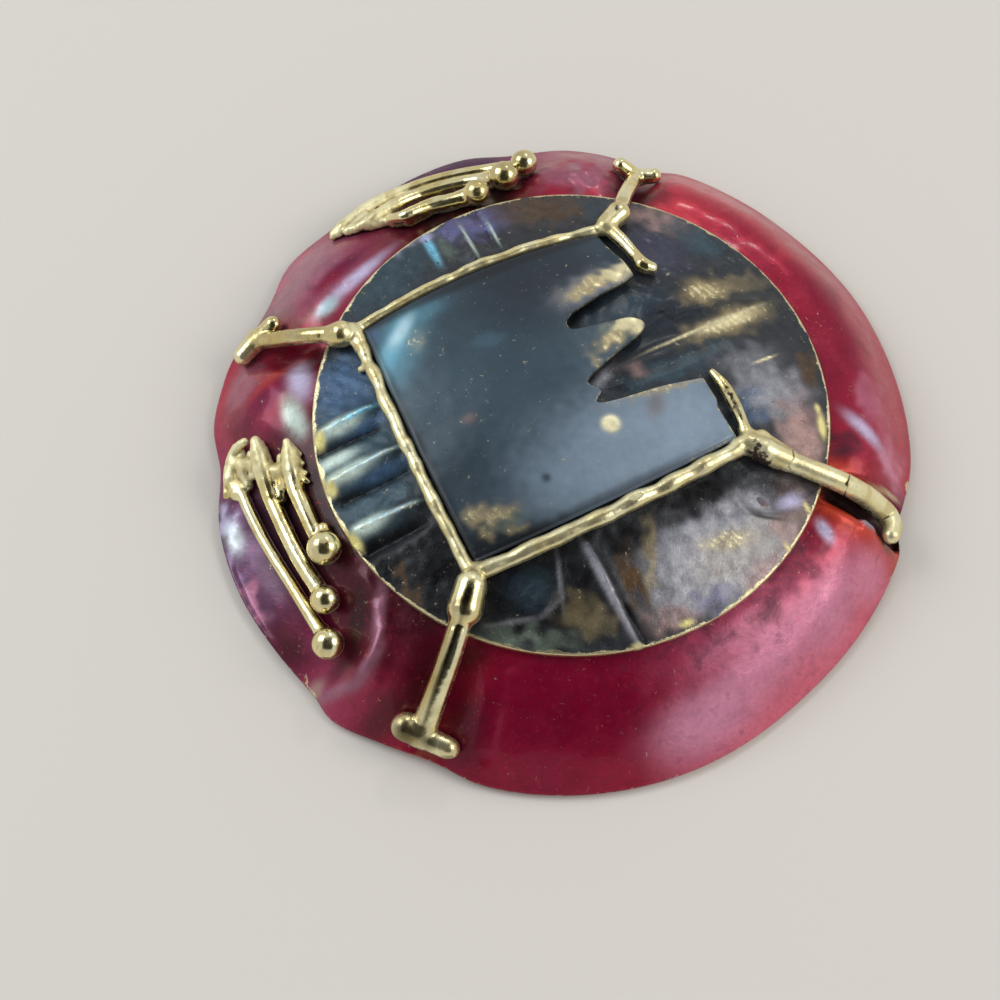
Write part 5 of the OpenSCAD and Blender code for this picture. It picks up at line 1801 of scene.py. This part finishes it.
def tube(path, sides=14):
    """A round profile carried along a path [x, y, z, radius], with half-round ends r cos f at r sin f."""
    places, r = path[:, :3], path[:, 3]
    along = np.gradient(places, axis=0)
    along /= np.linalg.norm(along, axis=1, keepdims=True)
    side = np.cross(along, [0, 0, 1.0])
    side /= np.linalg.norm(side, axis=1, keepdims=True)
    up = np.cross(side, along)
    f = np.radians([75, 50, 25])
    start = [(0, -math.sin(k), math.cos(k)) for k in f]
    end = [(-1, math.sin(k), math.cos(k)) for k in f[::-1]]
    body = [(i, 0, 1) for i in range(len(path))]
    index, shift, share = (np.array(column) for column in zip(*(start + body + end)))
    turn = np.arange(sides) * 2 * math.pi / sides
    middle = places[index] + along[index] * (shift * r[index])[:, None]
    c, s = np.cos(turn)[None, :, None], np.sin(turn)[None, :, None]
    spread = c * side[index][:, None] + s * up[index][:, None]
    return middle[:, None] + spread * (share * r[index])[:, None, None]


def ball_path(row):
    """A very short path that stands for a ball."""
    return np.array([row - [0.02, 0, 0, 0], row, row + [0.02, 0, 0, 0]])


def tube_distance(points, path):
    """Distance to tapered capsules along a path: least |p - a - s (b - a)| - (ra + s (rb - ra))."""
    a, b = path[:-1], path[1:]
    ab = b[:, :3] - a[:, :3]
    best = np.full(len(points), FAR)
    low, high = path[:, :3].min(axis=0) - NEAR, path[:, :3].max(axis=0) + NEAR
    near = np.flatnonzero(((points > low) & (points < high)).all(axis=1))
    if not len(near):
        return best
    p = points[near][:, None] - a[None, :, :3]
    s = np.clip((p * ab).sum(axis=2) / (ab**2).sum(axis=1), 0, 1)
    d = np.linalg.norm(p - s[..., None] * ab, axis=2) - (a[:, 3] + s * (b[:, 3] - a[:, 3]))
    best[near] = d.min(axis=1)
    return best


def brazed_field(points, paths, blend):
    """Smooth union of the paths: d = mix(d2, d1, h) - blend h (1 - h), h = 0.5 + 0.5 (d2 - d1) / blend."""
    total = tube_distance(points, paths[0])
    for path in paths[1:]:
        d = tube_distance(points, path)
        h = np.clip(0.5 + 0.5 * (d - total) / blend, 0, 1)
        total = d * (1 - h) + total * h - blend * h * (1 - h)
    return total


def hollowness(mesh, points, normals, rounds):
    """How far the surface lies below its neighbourhood: (smoothed p - p) . n after rounds of averaging."""
    pairs = np.empty(len(mesh.edges) * 2, np.int32)
    mesh.edges.foreach_get("vertices", pairs)
    a, b = pairs.reshape(-1, 2).T
    n = len(points)
    count = np.bincount(a, minlength=n) + np.bincount(b, minlength=n)
    smooth = points.copy()
    for _ in range(rounds):
        for k in range(3):
            total = np.bincount(a, smooth[b, k], n) + np.bincount(b, smooth[a, k], n)
            smooth[:, k] = total / np.maximum(count, 1)
    return ((smooth - points) * normals).sum(axis=1)


def joined_tubes(name, paths, voxel):
    """One closed mesh round all the paths, joined by a voxel remesh."""
    parts = [capped_rings(tube(path)) for path in paths]
    offsets = np.cumsum([0] + [len(part[0]) for part in parts[:-1]])
    points = np.concatenate([part[0] for part in parts])
    turned = [outside_out(*part) for part in parts]
    quads = np.concatenate([pair[0] + k for pair, k in zip(turned, offsets)])
    triangles = np.concatenate([pair[1] + k for pair, k in zip(turned, offsets)])
    source = make_mesh(name + "_tubes", points, quads, triangles)
    holder = bpy.data.objects.new(name + "_tubes", source)
    bpy.context.scene.collection.objects.link(holder)
    remesh = holder.modifiers.new("join", "REMESH")
    remesh.mode = "VOXEL"
    remesh.voxel_size = voxel
    remesh.adaptivity = 0.0
    bpy.context.view_layer.update()
    joined = holder.evaluated_get(bpy.context.evaluated_depsgraph_get())
    mesh = bpy.data.meshes.new_from_object(joined)
    bpy.data.objects.remove(holder)
    bpy.data.meshes.remove(source)
    mesh.name = name + "_body"
    mesh.materials.clear()
    return mesh


def brass_grime_and_shade(points, height, seam, normals):
    """Share of grime and painted shade: painted shade at low places and undersides, grime in crevices,
    cracks across the strap and torn places.
    """
    x, y = points[:, :2].T
    # Painted shade near where the brass meets what lies below it and on faces turned down; grime in the
    # crevices.
    grime_and_shade = np.maximum(smoothstep(0.7, 0.15, height), smoothstep(0.012, 0.08, seam))
    grime_and_shade = np.maximum(grime_and_shade, 0.6 * smoothstep(0.35, -0.15, normals[:, 2]))
    crooked = uneven("crack", points)
    for row in CRACKS:
        near = np.hypot(x - row.x, y - row.y) < 1.6
        along = (x - row.x) * row.along_x + (y - row.y) * row.along_y + crooked
        grime_and_shade = np.maximum(grime_and_shade, 0.9 * near * np.exp(-((along / row.half_width) ** 2)))
    wx, wy = x + uneven("tear_x", points), y + uneven("tear_y", points)
    return np.clip(0.9 * np.maximum(grime_and_shade, cover(TEARS, wx, wy)), 0, 1)


def brazed_mesh(name, node, paths, props, rough, crust):
    """Tubes joined by a voxel remesh, then drawn onto their smooth union with solder's unevenness."""
    mesh = joined_tubes(name, paths, props.frame_voxel if node == "frame" else props.voxel)
    for _ in range(3):
        points = read_points(mesh)
        d = brazed_field(points, paths, props.blend / MM)
        write_points(mesh, points - read_normals(mesh) * np.clip(d, -0.25, 0.25)[:, None])
    points = read_points(mesh)
    lumps = rough(points) * uneven("solder", points)
    points = inside_box(points + read_normals(mesh) * lumps[:, None], node)
    write_points(mesh, points)
    mesh.shade_smooth()
    x, y, z = points.T
    normals = read_normals(mesh)
    seam = hollowness(mesh, points, normals, 14)
    crusty = crust(points)
    mixed = np.clip(0.5 + uneven("brass_tint", points), 0, 1)
    colour = tinted(linear(PALETTE["brass"]), "pale_brass", mixed)
    colour = tinted(colour, "cream", 0.6 * crusty)
    low = crusty * smoothstep(-0.02, 0.03, seam)
    olive = np.clip(0.5 * low + 0.3 * smoothstep(0.3, 1.2, uneven("brass_olive", points)), 0, 1)
    colour = paint(tinted(colour, "olive_brass", olive), BRASS_SPOTS, x, y)
    dress(mesh, colour, brass_grime_and_shade(points, z - below_wire(x, y), seam, normals), 0 * x, crusty)
    return mesh


def side_wire(side, d, seed, knobbly):
    """Brazed wire along one side: radius d / 2 * (1.06 + ripples of 5 and 2.8 mm), swaying by 0.05 mm."""
    s = np.linspace(0, 1, WIRE_POINTS)[:, None]
    place = side(s[:, 0])
    length = np.linalg.norm(place[-1] - place[0])
    wave = 0.05 * ripple(s * length, 5.0, seed) + knobbly * ripple(s * length, 2.8, seed + 4)
    r = d / 2 * np.clip(1.06 + wave, 0.9, 1.2)
    across = np.array([place[0, 1] - place[-1, 1], place[-1, 0] - place[0, 0]]) / length
    place = place + (0.05 * ripple(s * length, 6.0, seed + 2) * bow(s[:, 0]))[:, None] * across
    return seated(np.column_stack([place, np.full(WIRE_POINTS, 0.04), r]))


def lump_path(row):
    """A brazed lump between two seated balls."""
    ends = seated([[row.x1, row.y1, 0, row.r1], [row.x2, row.y2, 0, row.r2]])
    return np.array([ends[0], ends.mean(axis=0), ends[1]])


def frame_paths():
    """Side wires, straps, stubs, knots and beads of the brazed frame."""
    zero = np.zeros_like
    paths = [
        side_wire(lambda s: plate_place(zero(s), s), LEFT_WIRE_D, 51, 0.05),
        side_wire(lambda s: plate_place(s, zero(s)), FRONT_WIRE_D, 53, 0.0),
        side_wire(lambda s: plate_place(s, zero(s) + 1), BACK_WIRE_D, 55, 0.02),
    ]
    paths += [smooth_path(seated(strap), 0.5) for strap in STRAPS]
    return paths + [lump_path(row) for row in KNOTS + FRAME_SOLDER]


def bar_paths(bars, balls, crust):
    """Bars or crests, their balls and the crust that joins their roots."""
    paths = [smooth_path(seated(bar), 0.5) for bar in bars]
    paths += [ball_path(row) for row in seated(balls)]
    return paths + [lump_path(row) for row in crust]


def frame_satin(points):
    """How matt the frame's brass is: most at the right strap, less along the side wires and at the feet."""
    x, y = points[:, 0], points[:, 1]
    wires = 0.5 * smoothstep(2.2, 0.6, wire_gap(x, y))
    feet = 0.3 * smoothstep(30.0, 31.5, np.hypot(x, y))
    return np.maximum(np.maximum(wires, feet), 0.6 * smoothstep(15.5, 18.5, x) * smoothstep(-2.0, -4.0, y))


def frame_roughness(points):
    """Solder unevenness in mm: more along the thin side wires than on the straps."""
    near = smoothstep(2.2, 0.6, wire_gap(points[:, 0], points[:, 1]))
    return 0.006 + 0.008 * near


def left_root(points):
    """1 at the crusty roots of the left bars, 0 along the bars."""
    return smoothstep(-6.4, -4.6, points[:, 1])


def top_root(points):
    """1 at the crusty roots of the top bars, 0 along the bars."""
    return smoothstep(-15.6, -17.2, points[:, 0] - 0.3 * (points[:, 1] - 25))


def lamp(row):
    """A soft square lamp that faces the brooch."""
    data = bpy.data.lights.new(row.name, "AREA")
    data.shape = "SQUARE"
    data.size = row.size
    data.energy = row.power
    data.color = (row.red, row.green, row.blue)
    made = bpy.data.objects.new(row.name, data)
    place = np.array([row.x, row.y, row.z])
    made.location = place
    flat = math.hypot(row.x, row.y)
    made.rotation_euler = (math.atan2(flat, row.z), 0, math.atan2(row.y, row.x) + math.pi / 2)
    bpy.context.scene.collection.objects.link(made)


def flat_sheet(name, half_width, half_height, colour, roughness):
    """A flat rectangle round the origin with a plain material."""
    w, h = half_width, half_height
    mesh = bpy.data.meshes.new(name)
    mesh.from_pydata([(-w, -h, 0), (w, -h, 0), (w, h, 0), (-w, h, 0)], [], [(0, 1, 2, 3)])
    material = bpy.data.materials.new("plain_" + name)
    material.use_nodes = True
    sockets = material.node_tree.nodes["Principled BSDF"].inputs
    sockets["Base Color"].default_value = colour
    sockets["Roughness"].default_value = roughness
    mesh.materials.append(material)
    sheet = bpy.data.objects.new(name, mesh)
    bpy.context.scene.collection.objects.link(sheet)
    return sheet


def length_setting(label, meaning, metres):
    """A length that the sidebar shows in the scene's unit."""
    return bpy.props.FloatProperty(
        name=label, description=meaning, default=metres, unit="LENGTH", subtype="DISTANCE", precision=6
    )


class BroochSurfaceSettings(bpy.types.PropertyGroup):
    """Fineness of a round piece"""

    spokes: bpy.props.IntProperty(name="Spokes", description="Points round a ring", default=640, min=64)
    rings: bpy.props.IntProperty(
        name="Rings", description="Rings across the visible part", default=66, min=8
    )
    ripple_height: length_setting("Ripple", "Height of the hammered unevenness", 0.00004)


class BroochPlateSettings(bpy.types.PropertyGroup):
    """Fineness of the torn plate"""

    rows_between: bpy.props.IntProperty(
        name="Rows", description="Rows between two stations of the tear", default=10, min=2
    )
    columns: bpy.props.IntProperty(
        name="Columns", description="Points from the left side to the tear", default=150, min=8
    )


class BroochBrassSettings(bpy.types.PropertyGroup):
    """Fineness and fillets of the brazed brass"""

    voxel: length_setting("Voxel", "Grain of the brazed bars", 0.0001)
    frame_voxel: length_setting("Frame Voxel", "Grain of the brazed frame", 0.000118)
    blend: length_setting("Fillet", "Reach of the solder where two wires meet", 0.00035)


class BroochStageSettings(bpy.types.PropertyGroup):
    """Floor and light of the stage"""

    floor_size: length_setting("Floor", "Width of the plain floor", 4.0)
    world_strength: bpy.props.FloatProperty(
        name="Surroundings", description="Brightness of the room", default=0.64, min=0.0
    )


class BROOCH_OT_groups(bpy.types.Operator):
    """Make the shader groups that the brooch's materials share"""

    bl_idname = "brooch.make_groups"
    bl_label = "Make Shader Groups"

    def execute(self, context):
        for make in (mottled_tint_group, flecks_group, hatch_group, gloss_group, relief_group):
            make()
        return {"FINISHED"}


class BROOCH_OT_dish(bpy.types.Operator):
    """Build the red-patinated dish"""

    bl_idname = "brooch.add_dish"
    bl_label = "Dish"

    def execute(self, context):
        mesh = dish_mesh(context.scene.brooch_dish)
        add_piece("dish_red", mesh, "dish", red_material())
        return {"FINISHED"}


class BROOCH_OT_disc(bpy.types.Operator):
    """Build the chased dark brass disc"""

    bl_idname = "brooch.add_disc"
    bl_label = "Disc"

    def execute(self, context):
        mesh = disc_mesh(context.scene.brooch_disc)
        add_piece("disc_chased", mesh, "disc", bronze_material())
        return {"FINISHED"}


class BROOCH_OT_plate(bpy.types.Operator):
    """Build the torn dark plate"""

    bl_idname = "brooch.add_plate"
    bl_label = "Plate"

    def execute(self, context):
        mesh = plate_mesh(context.scene.brooch_plate)
        add_piece("plate_torn", mesh, "plate", plate_material())
        return {"FINISHED"}


class BROOCH_OT_brass(bpy.types.Operator):
    """Build the brazed frame and both groups of bars"""

    bl_idname = "brooch.add_brass"
    bl_label = "Brazed Brass"

    def execute(self, context):
        props = context.scene.brooch_brass
        material = brass_material()
        parts = [
            ("frame_brazed", "frame", frame_paths(), frame_roughness, frame_satin),
            (
                "left_bars_brazed",
                "left_bars",
                bar_paths(LEFT_BARS + LEFT_CRESTS, LEFT_BALLS, LEFT_CRUST + LEFT_SOLDER),
                lambda p: 0.006 + 0.03 * left_root(p),
                left_root,
            ),
            (
                "top_bars_brazed",
                "top_bars",
                bar_paths(TOP_BARS + TOP_CRESTS, TOP_BALLS, TOP_CRUST + TOP_SOLDER),
                lambda p: 0.006 + 0.025 * top_root(p),
                top_root,
            ),
        ]
        for name, node, paths, rough, crust in parts:
            mesh = brazed_mesh(name, node, paths, props, rough, crust)
            if len(mesh.vertices) < FEWEST_POINTS:
                raise RuntimeError(f"{name} came out empty")
            add_piece(name, mesh, node, material)
        return {"FINISHED"}


class BROOCH_OT_pin(bpy.types.Operator):
    """Finish the hidden pin in satin steel"""

    bl_idname = "brooch.finish_pin"
    bl_label = "Pin"

    def execute(self, context):
        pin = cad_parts.get("pin_back")
        if pin is None:
            raise RuntimeError("the frame has no pin_back")
        pin.data.materials.clear()
        pin.data.materials.append(steel_material())
        return {"FINISHED"}


class BROOCH_OT_stage(bpy.types.Operator):
    """Set the plain floor, soft lights, dark card and camera"""

    bl_idname = "brooch.set_stage"
    bl_label = "Stage"

    def execute(self, context):
        props = context.scene.brooch_stage
        half = props.floor_size / 2
        floor = flat_sheet("floor", half, half, rgba("floor"), 0.85)
        card = flat_sheet("dark_card", CARD_HALF_WIDTH, CARD_HALF_HEIGHT, (0.01, 0.01, 0.01, 1), 0.5)
        card.location = [CARD_BEHIND * value for value in CAMERA_PLACE]
        card.rotation_euler = (math.radians(CAMERA_TILT), 0, 0)
        card.visible_camera = False
        card.visible_diffuse = False
        card.visible_shadow = False
        for row in LAMPS:
            lamp(row)
        world = bpy.data.worlds.new("room")
        world.use_nodes = True
        back = world.node_tree.nodes["Background"]
        back.inputs["Color"].default_value = ROOM_COLOUR
        back.inputs["Strength"].default_value = props.world_strength
        context.scene.world = world
        data = bpy.data.cameras.new("camera")
        data.lens = CAMERA_LENS
        data.sensor_width = CAMERA_SENSOR
        data.clip_start = CAMERA_NEAR
        camera = bpy.data.objects.new("camera", data)
        camera.location = CAMERA_PLACE
        camera.rotation_euler = (math.radians(CAMERA_TILT), 0, 0)
        context.scene.collection.objects.link(camera)
        context.scene.camera = camera
        context.scene.view_settings.view_transform = "Standard"
        return {"FINISHED"}


class BROOCH_PT_panel(bpy.types.Panel):
    """Buttons of the brooch in the sidebar"""

    bl_idname = "BROOCH_PT_panel"
    bl_label = "Brutalist Brooch"
    bl_space_type = "VIEW_3D"
    bl_region_type = "UI"
    bl_category = "Brooch"

    def draw(self, context):
        scene = context.scene
        column = self.layout.column()
        for name in SETTINGS:
            settings = getattr(scene, name)
            for key in settings.__annotations__:
                column.prop(settings, key)
        for operator in OPERATORS:
            column.operator(operator.bl_idname)


SETTINGS = {
    "brooch_dish": BroochSurfaceSettings,
    "brooch_disc": BroochSurfaceSettings,
    "brooch_plate": BroochPlateSettings,
    "brooch_brass": BroochBrassSettings,
    "brooch_stage": BroochStageSettings,
}
OPERATORS = (
    BROOCH_OT_groups,
    BROOCH_OT_dish,
    BROOCH_OT_disc,
    BROOCH_OT_plate,
    BROOCH_OT_brass,
    BROOCH_OT_pin,
    BROOCH_OT_stage,
)
CLASSES = (*dict.fromkeys(SETTINGS.values()), *OPERATORS, BROOCH_PT_panel)


def register():
    for item in CLASSES:
        bpy.utils.register_class(item)
    for name, kind in SETTINGS.items():
        setattr(bpy.types.Scene, name, bpy.props.PointerProperty(type=kind))


def unregister():
    for name in reversed(SETTINGS):
        delattr(bpy.types.Scene, name)
    for item in reversed(CLASSES):
        bpy.utils.unregister_class(item)


def main():
    """Builds everything."""
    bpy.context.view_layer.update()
    register()
    bpy.ops.brooch.make_groups()
    bpy.ops.brooch.add_dish()
    bpy.ops.brooch.add_disc()
    bpy.ops.brooch.add_plate()
    bpy.ops.brooch.add_brass()
    bpy.ops.brooch.finish_pin()
    bpy.ops.brooch.set_stage()


if __name__ == "__main__":
    main()
